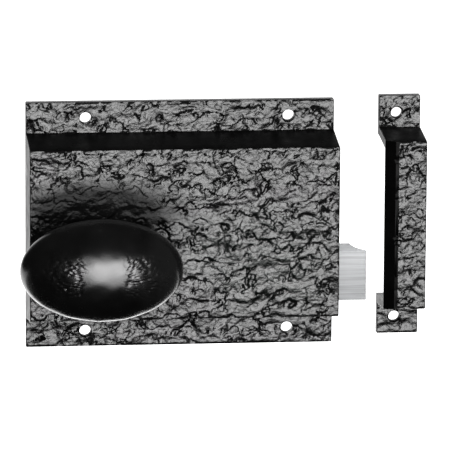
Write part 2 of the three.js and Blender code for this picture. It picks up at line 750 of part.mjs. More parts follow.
// Part of the keep's front that is lowered beside the mouth: a ledge, then a lead-in slope.
function leadInCutter() {
  const ledgeX = KEEP_LEFT_X + LEAD_IN_WIDTH;
  const ledgeY = FRONT_Y + LEDGE_DROP;
  const lipY = ledgeY + LEAD_IN_DROP;
  return planExtrusion(outline([
    [KEEP_LEFT_X - PAST, FRONT_Y - PAST],
    [ledgeX + LEDGE_WIDTH, FRONT_Y - PAST],
    [ledgeX + LEDGE_WIDTH, ledgeY],
    [ledgeX, ledgeY],
    [KEEP_LEFT_X, lipY],
    [KEEP_LEFT_X - PAST, lipY],
  ]), -KEEP_HEIGHT / 2, KEEP_HEIGHT / 2);
}

function keep() {
  const rightX = KEEP_LEFT_X + KEEP_WIDTH;
  const outside = sideExtrusion(
    hatSection(KEEP_HEIGHT, KEEP_FLANGE_HEIGHT, KEEP_DRAFT, KEEP_CENTRE_Z),
    KEEP_LEFT_X,
    rightX,
    KEEP_END_ROUND,
  );
  const hollow = sideExtrusion(
    hollowSection(KEEP_HEIGHT, KEEP_FLANGE_HEIGHT, KEEP_DRAFT, KEEP_CENTRE_Z, KEEP_WALL),
    KEEP_LEFT_X - PAST,
    rightX - KEEP_WALL,
  );
  const holes = [-0.5, 0.5].map((side) => barY(
    KEEP_HOLE_RADIUS,
    PAST,
    -FLANGE_THICKNESS - PAST,
    KEEP_HOLE_X,
    KEEP_CENTRE_Z + side * KEEP_HOLE_SPACING,
  ));
  return geometryOf(cut(solid(outside), hollow, leadInCutter(), ...holes));
}

// ---------------------------------------------------------------- assembly

const latch = new THREE.Group();

function add(group, name, geometry, material) {
  const mesh = new THREE.Mesh(geometry, material);
  mesh.name = name;
  group.add(mesh);
}

function addNumbered(group, name, geometries, material) {
  geometries.forEach((geometry, i) => add(group, `${name}_${i + 1}`, geometry, material()));
}

const plateScrews = PLATE_SCREW_PLACES.map(([x, z]) => plateScrew(x, z));
const bracketScrews = BRACKET_SCREW_PLACES.map(([x, z]) => smallScrew(x, z));
const guideScrews = GUIDE_SCREW_PLACES.map(([x, z]) => smallScrew(x, z));
const rivets = RIVET_Z.map((z) => boltRivet(z));

const fixedParts = new THREE.Group();
add(fixedParts, 'case', latchCase(), blackIron());
add(fixedParts, 'back_plate', backPlate(), darkSteel());
addNumbered(fixedParts, 'back_plate_screw', plateScrews, darkSteel);
add(fixedParts, 'spindle_bush', spindleBush(), brass());
add(fixedParts, 'spring_bracket', springBracket(), darkSteel());
addNumbered(fixedParts, 'spring_bracket_screw', bracketScrews, steel);
add(fixedParts, 'tail_guide', tailGuide(), darkSteel());
addNumbered(fixedParts, 'tail_guide_screw', guideScrews, steel);
add(fixedParts, 'bolt_spring', boltSpring(), springSteel());

const slidingParts = new THREE.Group();
add(slidingParts, 'latch_bolt', latchBolt(), steel());
add(slidingParts, 'bolt_tail', boltTail(), darkSteel());
addNumbered(slidingParts, 'bolt_rivet', rivets, steel);
add(slidingParts, 'spring_guide_rod', springGuideRod(), steel());

const turningParts = new THREE.Group();
add(turningParts, 'knob', knob(), blackIron());
add(turningParts, 'knob_grub_screw', knobGrubScrew(), darkSteel());
add(turningParts, 'knob_spindle', knobSpindle(), darkSteel());
add(turningParts, 'follower', follower(), darkSteel());
add(turningParts, 'follower_washer', followerWasher(), brass());
add(turningParts, 'spindle_circlip', spindleCirclip(), springSteel());

latch.add(fixedParts, slidingParts, turningParts);
add(latch, 'keep', keep(), blackIron());

export default latch;
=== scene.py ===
import json
import math

import bmesh
import bpy
from mathutils import Matrix, Vector, noise


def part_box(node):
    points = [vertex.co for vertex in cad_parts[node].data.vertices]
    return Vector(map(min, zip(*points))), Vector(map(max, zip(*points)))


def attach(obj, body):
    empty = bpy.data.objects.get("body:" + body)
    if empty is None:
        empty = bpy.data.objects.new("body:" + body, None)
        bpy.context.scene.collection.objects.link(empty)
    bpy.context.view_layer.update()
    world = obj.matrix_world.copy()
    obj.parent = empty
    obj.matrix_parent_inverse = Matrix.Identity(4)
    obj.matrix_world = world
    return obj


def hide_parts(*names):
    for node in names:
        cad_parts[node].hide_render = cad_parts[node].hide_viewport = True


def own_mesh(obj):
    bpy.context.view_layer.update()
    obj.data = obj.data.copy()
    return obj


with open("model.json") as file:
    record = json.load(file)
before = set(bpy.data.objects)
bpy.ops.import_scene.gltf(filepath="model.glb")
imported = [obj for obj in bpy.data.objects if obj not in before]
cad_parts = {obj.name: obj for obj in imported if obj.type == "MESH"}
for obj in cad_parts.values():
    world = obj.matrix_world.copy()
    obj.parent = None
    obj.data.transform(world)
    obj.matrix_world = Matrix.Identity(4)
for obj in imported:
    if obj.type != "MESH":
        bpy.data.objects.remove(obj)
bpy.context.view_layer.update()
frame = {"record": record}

MM = 0.001
SEAM = 0.003 * MM  # how far apart a cut may leave two corners that belong together
HAIR = 0.01 * MM  # how near two places are when they count as the same
PAST = 2 * MM  # how far a cutter runs past the surface it cuts
GAP = 0.3 * MM  # play between a piece and the hole it sits in

# ---------------------------------------------------------------- sizes from the frame

case_low, case_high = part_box("case")
keep_low, keep_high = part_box("keep")
knob_low, knob_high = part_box("knob")
bolt_low, bolt_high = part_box("latch_bolt")
bush_low, bush_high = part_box("spindle_bush")
spindle_low, spindle_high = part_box("knob_spindle")

SPINDLE_X = (spindle_low.x + spindle_high.x) / 2
SPINDLE_Z = (spindle_low.z + spindle_high.z) / 2
FRONT_Y = case_low.y
FLANGE_Y = -4.5 * MM
SPINDLE_RADIUS = 5 * MM
BUSH_RADIUS = 7.5 * MM

CELL = 0.42 * MM  # spacing of the corners on a rough casting's faces
WALL_STEPS = 4
WALL_MIDDLE_Y = FLANGE_Y - 8 * MM
EDGE_ROUND = 1.2 * MM
END_EASE = 0.3 * MM
FLAT_AREA = 30 * MM * MM  # faces larger than this are flat ones, such as a casting's ends

CALM_AND_SHADE_Z = SPINDLE_Z + 19 * MM  # the casting is calmer just above the knob, and its enamel there carries a painted shade
CALM_AND_SHADE_WIDE = 34 * MM
CALM_AND_SHADE_TALL = 13 * MM


# ---------------------------------------------------------------- hand tools


def only(piece):
    """Leaves one piece selected and active."""
    bpy.ops.object.select_all(action="DESELECT")
    piece.select_set(True)
    bpy.context.view_layer.objects.active = piece


def settle(piece):
    """Moves a piece's place, turn and size into its mesh."""
    only(piece)
    bpy.ops.object.transform_apply(location=True, rotation=True, scale=True)


def start_edit(piece):
    only(piece)
    bpy.ops.object.mode_set(mode="EDIT")


def end_edit():
    bpy.ops.object.mode_set(mode="OBJECT")


def middle(part):
    """Place of a corner, or the middle of an edge's or a face's corners."""
    if hasattr(part, "co"):
        return part.co
    corners = [v.co for v in part.verts]
    return sum(corners, Vector()) / len(corners)


def pick(kind, test):
    """Selects, in edit mode, the VERT, EDGE or FACE parts whose middle passes the test."""
    bpy.ops.mesh.select_mode(type=kind)
    bpy.ops.mesh.select_all(action="DESELECT")
    mesh = bpy.context.object.data
    shape = bmesh.from_edit_mesh(mesh)
    for part in {"VERT": shape.verts, "EDGE": shape.edges, "FACE": shape.faces}[kind]:
        if test(middle(part)):
            part.select = True
    shape.select_flush_mode()
    bmesh.update_edit_mesh(mesh)


def near(a, b):
    return abs(a - b) < HAIR


def extrude(x=0, y=0, z=0):
    """Extrudes what is selected by a move."""
    bpy.ops.mesh.extrude_region_move(TRANSFORM_OT_translate={"value": (x, y, z)})


def face_outwards():
    bpy.ops.mesh.select_all(action="SELECT")
    bpy.ops.mesh.remove_doubles(threshold=0.1 * HAIR)
    bpy.ops.mesh.normals_make_consistent(inside=False)


def block(low, high):
    """Block between two corners."""
    bpy.ops.object.select_all(action="DESELECT")
    low, high = Vector(low), Vector(high)
    bpy.ops.mesh.primitive_cube_add(size=1, location=(low + high) / 2)
    piece = bpy.context.object
    piece.scale = high - low
    settle(piece)
    return piece


def rod(radius, start, end, sides=48):
    """Round bar between two places, along any axis."""
    bpy.ops.object.select_all(action="DESELECT")
    start, end = Vector(start), Vector(end)
    turn = (end - start).to_track_quat("Z", "Y").to_euler()
    bpy.ops.mesh.primitive_cylinder_add(
        vertices=sides,
        radius=radius,
        depth=(end - start).length,
        location=(start + end) / 2,
        rotation=turn,
    )
    piece = bpy.context.object
    settle(piece)
    return piece


def joined(pieces):
    """Several separate forms as one object."""
    only(pieces[0])
    for piece in pieces[1:]:
        piece.select_set(True)
    bpy.ops.object.join()
    return bpy.context.object


def combine(piece, operation, *others):
    """Cuts the others from a piece, or welds them on, and uses them up."""
    tool = joined(list(others))
    only(piece)
    change = piece.modifiers.new("change", "BOOLEAN")
    change.operation = operation
    change.solver = "EXACT"
    change.object = tool
    bpy.ops.object.modifier_apply(modifier=change.name)
    bpy.data.objects.remove(tool)
    return piece


def cut(piece, *cutters):
    return combine(piece, "DIFFERENCE", *cutters)


def weld(piece, *others):
    return combine(piece, "UNION", *others)


def close_seams(piece):
    """Joins corners that a cut has left a hair apart."""
    start_edit(piece)
    bpy.ops.mesh.select_all(action="SELECT")
    bpy.ops.mesh.remove_doubles(threshold=SEAM)
    end_edit()
    return piece


def smooth(piece, degrees=35):
    """Shades a piece as rounded, except across edges sharper than the angle."""
    only(piece)
    bpy.ops.object.shade_smooth_by_angle(angle=math.radians(degrees))


def keep_flat(piece):
    """Leaves the large flat faces out of the smooth shading, so that no streaks cross them."""
    for face in piece.data.polygons:
        if face.area > FLAT_AREA:
            face.use_smooth = False


def soften(piece, width, segments=2, degrees=38):
    """Takes the sharpness off a piece's edges."""
    only(piece)
    ease = piece.modifiers.new("ease", "BEVEL")
    ease.width = width
    ease.segments = segments
    ease.limit_method = "ANGLE"
    ease.angle_limit = math.radians(degrees)
    bpy.ops.object.modifier_apply(modifier=ease.name)


def prism(points, axis, start, end):
    """Outline with the given corners, drawn across an axis (0, 1 or 2) and extruded along it."""
    bpy.ops.object.select_all(action="DESELECT")
    bpy.ops.mesh.primitive_circle_add(vertices=len(points), fill_type="NGON")
    piece = bpy.context.object
    across = [i for i in range(3) if i != axis]
    for corner, point in zip(piece.data.vertices, points):
        corner.co[axis] = start
        corner.co[across[0]], corner.co[across[1]] = point
    start_edit(piece)
    bpy.ops.mesh.select_all(action="SELECT")
    move = [0, 0, 0]
    move[axis] = end - start
    extrude(*move)
    face_outwards()
    end_edit()
    return piece


def turned(rings, x, z, bored=False, sides=48):
    """Form turned about a line along Y from (radius, y) rings; a bored one closes on itself."""
    bpy.ops.object.select_all(action="DESELECT")
    radius, y = rings[0]
    bpy.ops.mesh.primitive_circle_add(
        vertices=sides,
        radius=radius,
        fill_type="NOTHING" if bored else "NGON",
        location=(x, y, z),
        rotation=(math.pi / 2, 0, 0),
    )
    piece = bpy.context.object
    settle(piece)
    start_edit(piece)
    bpy.ops.mesh.select_mode(type="EDGE" if bored else "FACE")
    bpy.ops.mesh.select_all(action="SELECT")
    for (old_radius, old_y), (new_radius, new_y) in zip(rings, rings[1:]):
        extrude(y=new_y - old_y)
        ratio = new_radius / old_radius
        bpy.ops.transform.resize(value=(ratio, 1, ratio), center_override=(x, new_y, z))
    face_outwards()
    end_edit()
    return piece


# ---------------------------------------------------------------- rough cast skin


def texture(kind, size, **settings):
    made = bpy.data.textures.new(kind.lower(), type=kind)
    made.noise_scale = size
    for key, value in settings.items():
        setattr(made, key, value)
    return made


def pattern_space(unit, stretch, turn=0.0, shift=(0, 0, 0)):
    """Space a pattern is laid out in, drawn out along X, its bands running across Z."""
    space = bpy.data.objects.new("pattern_space", None)
    bpy.context.scene.collection.objects.link(space)
    bands_down = Vector((1, 1, 1)).rotation_difference(Vector((0, 0, -1)))
    space.matrix_world = (
        Matrix.Translation(shift)
        @ Matrix.Rotation(turn, 4, "Y")
        @ Matrix.Diagonal((unit * stretch, unit, unit, 1))
        @ bands_down.to_matrix().to_4x4()
    )
    bpy.context.view_layer.update()
    return space


def roughen(piece, group, made, space, depth, level=1.0):
    """Presses a pattern into the skin, as far as the group's weights say."""
    only(piece)
    press = piece.modifiers.new("press", "DISPLACE")
    press.texture = made
    press.texture_coords = "OBJECT"
    press.texture_coords_object = space
    press.vertex_group = group
    press.strength = depth
    press.mid_level = level
    bpy.ops.object.modifier_apply(modifier=press.name)


def weigh(piece, group, rule):
    """Gives each corner of a mesh its share, from 0 to 1, by its place."""
    made = piece.vertex_groups.new(name=group)
    for corner in piece.data.vertices:
        share = rule(corner.co, corner.normal)
        if share > 0:
            made.add([corner.index], min(share, 1.0), "REPLACE")


def between(value, low, high):
    """0 below low, 1 above high, and a smooth rise between them."""
    share = min(max((value - low) / (high - low), 0.0), 1.0)
    return share * share * (3 - 2 * share)


def bark_skin(piece, front_share, flange_share):
    """Crumples the front and the flanges like bark, and leaves the sloping walls nearly smooth."""

    def place_share(co, normal):
        facing = between(-normal.y, 0.55, 0.95)
        if co.y > WALL_MIDDLE_Y:
            return facing * flange_share
        from_knob = math.hypot((co.x - SPINDLE_X) / CALM_AND_SHADE_WIDE, (co.z - CALM_AND_SHADE_Z) / CALM_AND_SHADE_TALL)
        return facing * front_share * (0.5 + 0.5 * between(from_knob, 0.7, 1.2))

    def patchy(offset, across, up, low, high):
        def share(co, normal):
            swell = noise.noise(Vector((co.x / across, offset, co.z / up)))
            return place_share(co, normal) * between(swell, low, high)

        return share

    weigh(piece, "swell", place_share)
    weigh(piece, "fold", patchy(0, 7 * MM, 4 * MM, -0.3, 0.3))
    weigh(piece, "crease", patchy(3, 6 * MM, 4 * MM, -0.1, 0.4))
    weigh(piece, "wrinkle", patchy(7, 5 * MM, 4 * MM, -0.3, 0.4))
    fold_space = pattern_space(15 * MM, 2, math.radians(-8))
    crease_space = pattern_space(10 * MM, 1.5, math.radians(8), (0.013, 0.02, 0.007))
    wrinkle_space = pattern_space(7 * MM, 1.7, math.radians(-14), (0.03, 0.01, 0.02))
    bands = {"wood_type": "BANDNOISE", "noise_basis_2": "SAW", "noise_type": "SOFT_NOISE"}
    cracks = {
        "noise_basis": "VORONOI_CRACKLE",
        "noise_distortion": "IMPROVED_PERLIN",
        "distortion": 1.0,
    }
    roughen(piece, "swell", texture("CLOUDS", 0.3, noise_depth=1), fold_space, 0.9 * MM, 0.6)
    roughen(piece, "fold", texture("WOOD", 0.3, turbulence=9, **bands), fold_space, 0.6 * MM)
    roughen(piece, "crease", texture("DISTORTED_NOISE", 0.5, **cracks), crease_space, 0.3 * MM)
    roughen(piece, "wrinkle", texture("WOOD", 0.3, turbulence=8, **bands), wrinkle_space, 0.15 * MM)
    roughen(piece, "swell", texture("CLOUDS", 0.16, noise_depth=2), wrinkle_space, 0.4 * MM, 0.6)
    for space in (fold_space, crease_space, wrinkle_space):
        bpy.data.objects.remove(space)


def rounding(steps=3):
    """Shares of a quarter round: how far out and how far on each step has gone."""
    for step in range(1, steps + 1):
        angle = math.pi / 2 * step / steps
        yield math.sin(angle), 1 - math.cos(angle)


def hat_skin(low, high, flange, draft):
    """Closed hat-section form: front, sloping walls, flanges and back, in small even cells."""
    rim = (high.z - low.z) / 2
    centre = (high.z + low.z) / 2
    base = rim - flange
    front = base - draft
    bpy.ops.object.select_all(action="DESELECT")
    width = high.x - low.x
    height = 2 * (front - EDGE_ROUND)
    bpy.ops.mesh.primitive_grid_add(
        x_subdivisions=round(width / CELL),
        y_subdivisions=round(height / CELL),
        size=1,
        location=((low.x + high.x) / 2, low.y, centre),
        rotation=(math.pi / 2, 0, 0),
    )
    piece = bpy.context.object
    piece.scale = (width, height, 1)
    settle(piece)
    start_edit(piece)
    for side in (1, -1):
        edge_z = centre + side * (front - EDGE_ROUND)
        pick("EDGE", lambda m: near(m.z, edge_z) and near(m.y, low.y))
        out, back = 0.0, 0.0
        for share_out, share_back in rounding():
            extrude(
                y=EDGE_ROUND * (share_back - back),
                z=side * EDGE_ROUND * (share_out - out),
            )
            out, back = share_out, share_back
        depth = FLANGE_Y - low.y - EDGE_ROUND
        for _ in range(WALL_STEPS):
            extrude(y=depth / WALL_STEPS, z=side * draft / WALL_STEPS)
        extrude(z=side * (flange - EDGE_ROUND))
        rows = round((flange - EDGE_ROUND) / CELL)
        flange_middle = centre + side * (base + (flange - EDGE_ROUND) / 2)
        rim_z = centre + side * (rim - EDGE_ROUND)
        pick("EDGE", lambda m: near(m.z, flange_middle) and near(m.y, FLANGE_Y))
        bpy.ops.mesh.subdivide(number_cuts=rows - 1)
        pick("EDGE", lambda m: near(m.z, rim_z) and near(m.y, FLANGE_Y))
        out, back = 0.0, 0.0
        for share_out, share_back in rounding():
            extrude(
                y=EDGE_ROUND * (share_back - back),
                z=side * EDGE_ROUND * (share_out - out),
            )
            out, back = share_out, share_back
        extrude(y=-FLANGE_Y - EDGE_ROUND)
    pick("EDGE", lambda m: near(m.y, 0) and near(abs(m.z - centre), rim))
    bpy.ops.mesh.bridge_edge_loops()
    for end_x in (low.x, high.x):
        pick("EDGE", lambda m: near(m.x, end_x))
        bpy.ops.mesh.edge_face_add()
    face_outwards()
    for end_x in (low.x, high.x):
        pick("FACE", lambda m: near(m.x, end_x))
        bpy.ops.mesh.region_to_loop()
        bpy.ops.mesh.bevel(offset=END_EASE, segments=2, affect="EDGES")
    end_edit()
    return piece


# ---------------------------------------------------------------- finishes


def new_material(name):
    """A bare material, its nodes and links, and its shader."""
    made = bpy.data.materials.new(name)
    made.use_nodes = True
    return made, made.node_tree.nodes, made.node_tree.links, made.node_tree.nodes["Principled BSDF"]


def place_coords(nodes, links, stretch=(1, 1, 1)):
    """Object coordinates through a mapping that draws a pattern out."""
    coords = nodes.new("ShaderNodeTexCoord")
    mapping = nodes.new("ShaderNodeMapping")
    mapping.inputs["Scale"].default_value = stretch
    links.new(coords.outputs["Object"], mapping.inputs["Vector"])
    return mapping.outputs["Vector"]


def noise_node(nodes, links, vector, scale, detail=3, rough=0.55, distortion=0.0):
    made = nodes.new("ShaderNodeTexNoise")
    made.inputs["Scale"].default_value = scale
    made.inputs["Detail"].default_value = detail
    made.inputs["Roughness"].default_value = rough
    made.inputs["Distortion"].default_value = distortion
    links.new(vector, made.inputs["Vector"])
    return made.outputs["Fac"]


def ramp_node(nodes, links, value, *stops):
    """Colour ramp of (place, colour) stops, a grey stop given as one number."""
    made = nodes.new("ShaderNodeValToRGB")
    ramp = made.color_ramp
    while len(ramp.elements) < len(stops):
        ramp.elements.new(0.5)
    for element, (where, colour) in zip(ramp.elements, stops):
        element.position = where
        rgb = colour if isinstance(colour, tuple) else (colour, colour, colour)
        element.color = (*rgb, 1)
    links.new(value, made.inputs["Fac"])
    return made.outputs["Color"]


def bump_node(nodes, links, height, distance, before=None, strength=1.0):
    """Bump of one pattern, on top of an earlier one if it is given."""
    made = nodes.new("ShaderNodeBump")
    made.inputs["Distance"].default_value = distance
    made.inputs["Strength"].default_value = strength
    links.new(height, made.inputs["Height"])
    if before is not None:
        links.new(before, made.inputs["Normal"])
    return made.outputs["Normal"]


def span_node(nodes, links, value, across, to, blend="LINEAR"):
    """Turns a value that runs across one span into one that runs across another."""
    made = nodes.new("ShaderNodeMapRange")
    made.interpolation_type = blend
    made.inputs["From Min"].default_value, made.inputs["From Max"].default_value = across
    made.inputs["To Min"].default_value, made.inputs["To Max"].default_value = to
    links.new(value, made.inputs["Value"])
    return made.outputs["Result"]


def calm_and_painted_shade_by_knob(nodes, links, lowest, highest):
    """Lowest just above the knob, where the casting is calmer and the enamel's painted shade lies,
    and highest away from it.
    """
    coords = nodes.new("ShaderNodeTexCoord")
    apart = nodes.new("ShaderNodeVectorMath")
    apart.operation = "SUBTRACT"
    apart.inputs[1].default_value = (SPINDLE_X, FRONT_Y, CALM_AND_SHADE_Z)
    links.new(coords.outputs["Object"], apart.inputs[0])
    shares = nodes.new("ShaderNodeVectorMath")
    shares.operation = "DIVIDE"
    shares.inputs[1].default_value = (CALM_AND_SHADE_WIDE, 1, CALM_AND_SHADE_TALL)
    links.new(apart.outputs["Vector"], shares.inputs[0])
    length = nodes.new("ShaderNodeVectorMath")
    length.operation = "LENGTH"
    links.new(shares.outputs["Vector"], length.inputs[0])
    return span_node(nodes, links, length.outputs["Value"], (0.7, 1.3), (lowest, highest))


def bark_enamel():
    """Semi-gloss black enamel on the rough casting, finely wrinkled and duller in places, with a
    painted shade just above the knob.
    """
    made, nodes, links, shader = new_material("bark_enamel")
    along = place_coords(nodes, links, (0.7, 1, 1))
    tint = noise_node(nodes, links, along, 60, 2)
    colour = ramp_node(nodes, links, tint, (0.3, 0.0008), (0.7, 0.0024))
    links.new(colour, shader.inputs["Base Color"])
    patch = noise_node(nodes, links, along, 220, 3)
    gloss = ramp_node(nodes, links, patch, (0.3, 0.15), (0.7, 0.25))
    links.new(gloss, shader.inputs["Roughness"])
    shader.inputs["IOR"].default_value = 1.43
    wrinkle = noise_node(nodes, links, along, 800, 3, 0.55, 0.6)
    first = bump_node(nodes, links, wrinkle, 0.24 * MM)
    grain = noise_node(nodes, links, along, 2600, 2)
    both = bump_node(nodes, links, grain, 0.05 * MM, first)
    for height in (first.node, both.node):
        links.new(calm_and_painted_shade_by_knob(nodes, links, 0.6, 1), height.inputs["Strength"])
    # Painted shade: the specular is turned down just above the knob, standing in for the knob's
    # mirrored shadow there.
    links.new(calm_and_painted_shade_by_knob(nodes, links, 0.06, 0.5), shader.inputs["Specular IOR Level"])
    links.new(both, shader.inputs["Normal"])
    return made


def smooth_enamel():
    """The same black enamel, duller and nearly smooth, on the casting's walls and ends."""
    made, nodes, links, shader = new_material("smooth_enamel")
    place = place_coords(nodes, links)
    tint = noise_node(nodes, links, place, 70, 2)
    colour = ramp_node(nodes, links, tint, (0.3, 0.0003), (0.7, 0.0007))
    links.new(colour, shader.inputs["Base Color"])
    patch = noise_node(nodes, links, place, 180, 3)
    links.new(ramp_node(nodes, links, patch, (0.3, 0.26), (0.7, 0.4)), shader.inputs["Roughness"])
    shader.inputs["Specular IOR Level"].default_value = 0.03
    ripple = noise_node(nodes, links, place, 500, 3)
    links.new(bump_node(nodes, links, ripple, 0.05 * MM), shader.inputs["Normal"])
    return made


def knob_enamel():
    """Glossy black enamel over a smooth cast oval."""
    made, nodes, links, shader = new_material("knob_enamel")
    place = place_coords(nodes, links)
    tint = noise_node(nodes, links, place, 90, 2)
    links.new(
        ramp_node(nodes, links, tint, (0.3, 0.0005), (0.7, 0.0012)), shader.inputs["Base Color"]
    )
    patch = noise_node(nodes, links, place, 160, 3)
    links.new(ramp_node(nodes, links, patch, (0.3, 0.2), (0.7, 0.28)), shader.inputs["Roughness"])
    shader.inputs["IOR"].default_value = 1.5
    orange_peel = noise_node(nodes, links, place, 900, 2)
    links.new(bump_node(nodes, links, orange_peel, 0.02 * MM), shader.inputs["Normal"])
    return made


def plated_bolt():
    """Dull zinc-grey plating with faint brushing along the bolt."""
    made, nodes, links, shader = new_material("plated_bolt")
    along = place_coords(nodes, links, (0.02, 1, 1))
    line = noise_node(nodes, links, along, 1400, 3)
    links.new(
        ramp_node(nodes, links, line, (0.3, (0.13, 0.133, 0.136)), (0.7, (0.22, 0.224, 0.228))),
        shader.inputs["Base Color"],
    )
    links.new(ramp_node(nodes, links, line, (0.3, 0.4), (0.7, 0.55)), shader.inputs["Roughness"])
    shader.inputs["IOR"].default_value = 1.4
    links.new(bump_node(nodes, links, line, 0.03 * MM), shader.inputs["Normal"])
    return made


def worked_metal(name, dark, light, gloss, stretch=(1, 1, 1)):
    """Bare metal with fine tool marks drawn out as the stretch says, and stained in places."""
    made, nodes, links, shader = new_material(name)
    along = place_coords(nodes, links, stretch)
    mark = noise_node(nodes, links, along, 1800, 3)
    stain = noise_node(nodes, links, place_coords(nodes, links), 110, 4, 0.6)
    colour = ramp_node(nodes, links, stain, (0.32, dark), (0.62, light))
    links.new(colour, shader.inputs["Base Color"])
    rough_low, rough_high = gloss
    links.new(
        ramp_node(nodes, links, mark, (0.3, rough_low), (0.7, rough_high)),
        shader.inputs["Roughness"],
    )
    shader.inputs["Metallic"].default_value = 1.0
    links.new(bump_node(nodes, links, mark, 0.02 * MM, strength=0.8), shader.inputs["Normal"])
    return made


black_iron = bark_enamel()
smooth_iron = smooth_enamel()
knob_iron = knob_enamel()
bolt_steel = plated_bolt()
rolled_steel = worked_metal(
    "rolled_steel", (0.16, 0.16, 0.165), (0.22, 0.22, 0.228), (0.36, 0.5), (0.1, 1, 1)
)
turned_steel = worked_metal(
    "turned_steel", (0.42, 0.43, 0.44), (0.6, 0.61, 0.62), (0.2, 0.36), (1, 0.06, 1)
)
spring_steel = worked_metal("spring_steel", (0.26, 0.27, 0.3), (0.42, 0.43, 0.45), (0.25, 0.4))
turned_brass = worked_metal(
    "turned_brass", (0.42, 0.29, 0.1), (0.66, 0.49, 0.2), (0.22, 0.4), (1, 0.06, 1)
)

finish_of_slot = {
    "black_iron": black_iron,
    "knob_iron": knob_iron,
    "bolt_steel": bolt_steel,
    "dark_steel": rolled_steel,
    "bright_steel": turned_steel,
    "spring_steel": spring_steel,
    "brass": turned_brass,
}
slot_of_node = {row["node"]: row["material_slot"] for row in frame["record"]["subparts"]}
body_of_node = {
    node: body for body, nodes in frame["record"]["behaviour"]["bodies"].items() for node in nodes
}


def stand_for(piece, name, node):
    """Gives a finished piece its name, finish and body from the node it stands for."""
    slot = slot_of_node[node]
    piece.name = name
    piece.data.name = name
    piece.data.materials.clear()
    piece.data.materials.append(finish_of_slot[slot])
    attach(piece, body_of_node[node])
    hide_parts(node)


def coat_walls(piece, flange, draft, low, high):
    """Gives the sloping walls and the flat ends their duller enamel."""
    piece.data.materials.append(smooth_iron)
    centre = (high.z + low.z) / 2
    base = (high.z - low.z) / 2 - flange
    spare = 0.2 * MM
    for face in piece.data.polygons:
        from_centre = abs(face.center.z - centre)
        on_wall = base - draft - spare < from_centre < base + spare
        slope = on_wall and abs(face.normal.z) > 0.8 and face.center.y < FLANGE_Y
        end = abs(face.normal.x) > 0.8 and face.area > FLAT_AREA
        if slope or end:
            face.material_index = 1


# ---------------------------------------------------------------- case

CASE_FLANGE = 12.5 * MM
CASE_DRAFT = 3.3 * MM
WALL = 3.3 * MM
PLATE_SCREW_NODES = [f"back_plate_screw_{i}" for i in (1, 2, 3, 4)]
FOOT_SCREW_NODES = [
    "spring_bracket_screw_1",
    "spring_bracket_screw_2",
    "tail_guide_screw_1",
    "tail_guide_screw_2",
]
PLATE_THICKNESS = 2 * MM
PLATE_HOLE_RADIUS = 7 * MM
PLATE_SCREW_RADIUS = 1.5 * MM
PLATE_SCREW_PITCH = 0.6 * MM
FOOT_SCREW_RADIUS = 1.2 * MM
FOOT_SCREW_PITCH = 0.5 * MM
FOOT_SCREW_HEAD = 1.3 * MM
SCREW_SLOT_DEPTH = 0.7 * MM
BOSS_RADIUS = 4 * MM
FIXING_RADIUS = 2.4 * MM
FIXING_X = (-39 * MM, 44.7 * MM)
FIXING_Z = 44.7 * MM
FIXING_SINK = 0.5 * MM


def centre_of(node):
    low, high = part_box(node)
    return (low + high) / 2


def hollow_cutter(low, high, flange, draft, wall, low_x, high_x):
    """Form of the hollow behind a casting's front, open through its back."""
    centre = (high.z + low.z) / 2
    back = (high.z - low.z) / 2 - flange - wall
    inner_y = low.y + wall
    front = back - draft * (FLANGE_Y - inner_y) / (FLANGE_Y - low.y)
    cutter = block((low_x, FLANGE_Y, centre - back), (high_x, PAST, centre + back))
    start_edit(cutter)
    pick("FACE", lambda m: near(m.y, FLANGE_Y))
    extrude(y=inner_y - FLANGE_Y)
    bpy.ops.transform.resize(value=(1, 1, front / back), center_override=(0, 0, centre))
    end_edit()
    return cutter


def fixing_hole(x, z, radius):
    """Round cutter through a flange, with a small countersink at its front."""
    wide = radius + 2 * FIXING_SINK
    rings = [
        (radius, PAST),
        (radius, FLANGE_Y + FIXING_SINK),
        (radius + FIXING_SINK, FLANGE_Y),
        (wide, FLANGE_Y - FIXING_SINK),
        (wide, FLANGE_Y - PAST),
    ]
    return turned(rings, x, z)


def latch_case():
    """Hollow rough casting with screw bosses inside, and holes for the bolt, bush and screws."""
    piece = hat_skin(case_low, case_high, CASE_FLANGE, CASE_DRAFT)
    bark_skin(piece, 1.0, 1.0)
    inner_y = case_low.y + WALL
    hollow = hollow_cutter(
        case_low, case_high, CASE_FLANGE, CASE_DRAFT, WALL, case_low.x + WALL, case_high.x - WALL
    )
    screws = [centre_of(node) for node in PLATE_SCREW_NODES]
    bosses = [
        rod(BOSS_RADIUS, (at.x, -PLATE_THICKNESS - GAP, at.z), (at.x, inner_y - PAST, at.z))
        for at in screws
    ]
    cut(hollow, *bosses)
    screw_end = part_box(PLATE_SCREW_NODES[0])[0].y - 2 * GAP
    screw_holes = [
        rod(PLATE_SCREW_RADIUS + GAP, (at.x, 0, at.z), (at.x, screw_end, at.z)) for at in screws
    ]
    bolt_window = block(
        (case_high.x - WALL - PAST, bolt_low.y - GAP, bolt_low.z - GAP),
        (case_high.x + PAST, bolt_high.y + GAP, bolt_high.z + GAP),
    )
    bush_hole = rod(
        BUSH_RADIUS + GAP,
        (SPINDLE_X, inner_y + PAST, SPINDLE_Z),
        (SPINDLE_X, FRONT_Y - PAST, SPINDLE_Z),
        96,
    )
    weld(hollow, *screw_holes, bolt_window, bush_hole)
    holes = [fixing_hole(x, z, FIXING_RADIUS) for x in FIXING_X for z in (-FIXING_Z, FIXING_Z)]
    return cut(piece, hollow, *holes)


case = latch_case()
smooth(case, 50)
keep_flat(case)
stand_for(case, "case_casting", "case")
coat_walls(case, CASE_FLANGE, CASE_DRAFT, case_low, case_high)


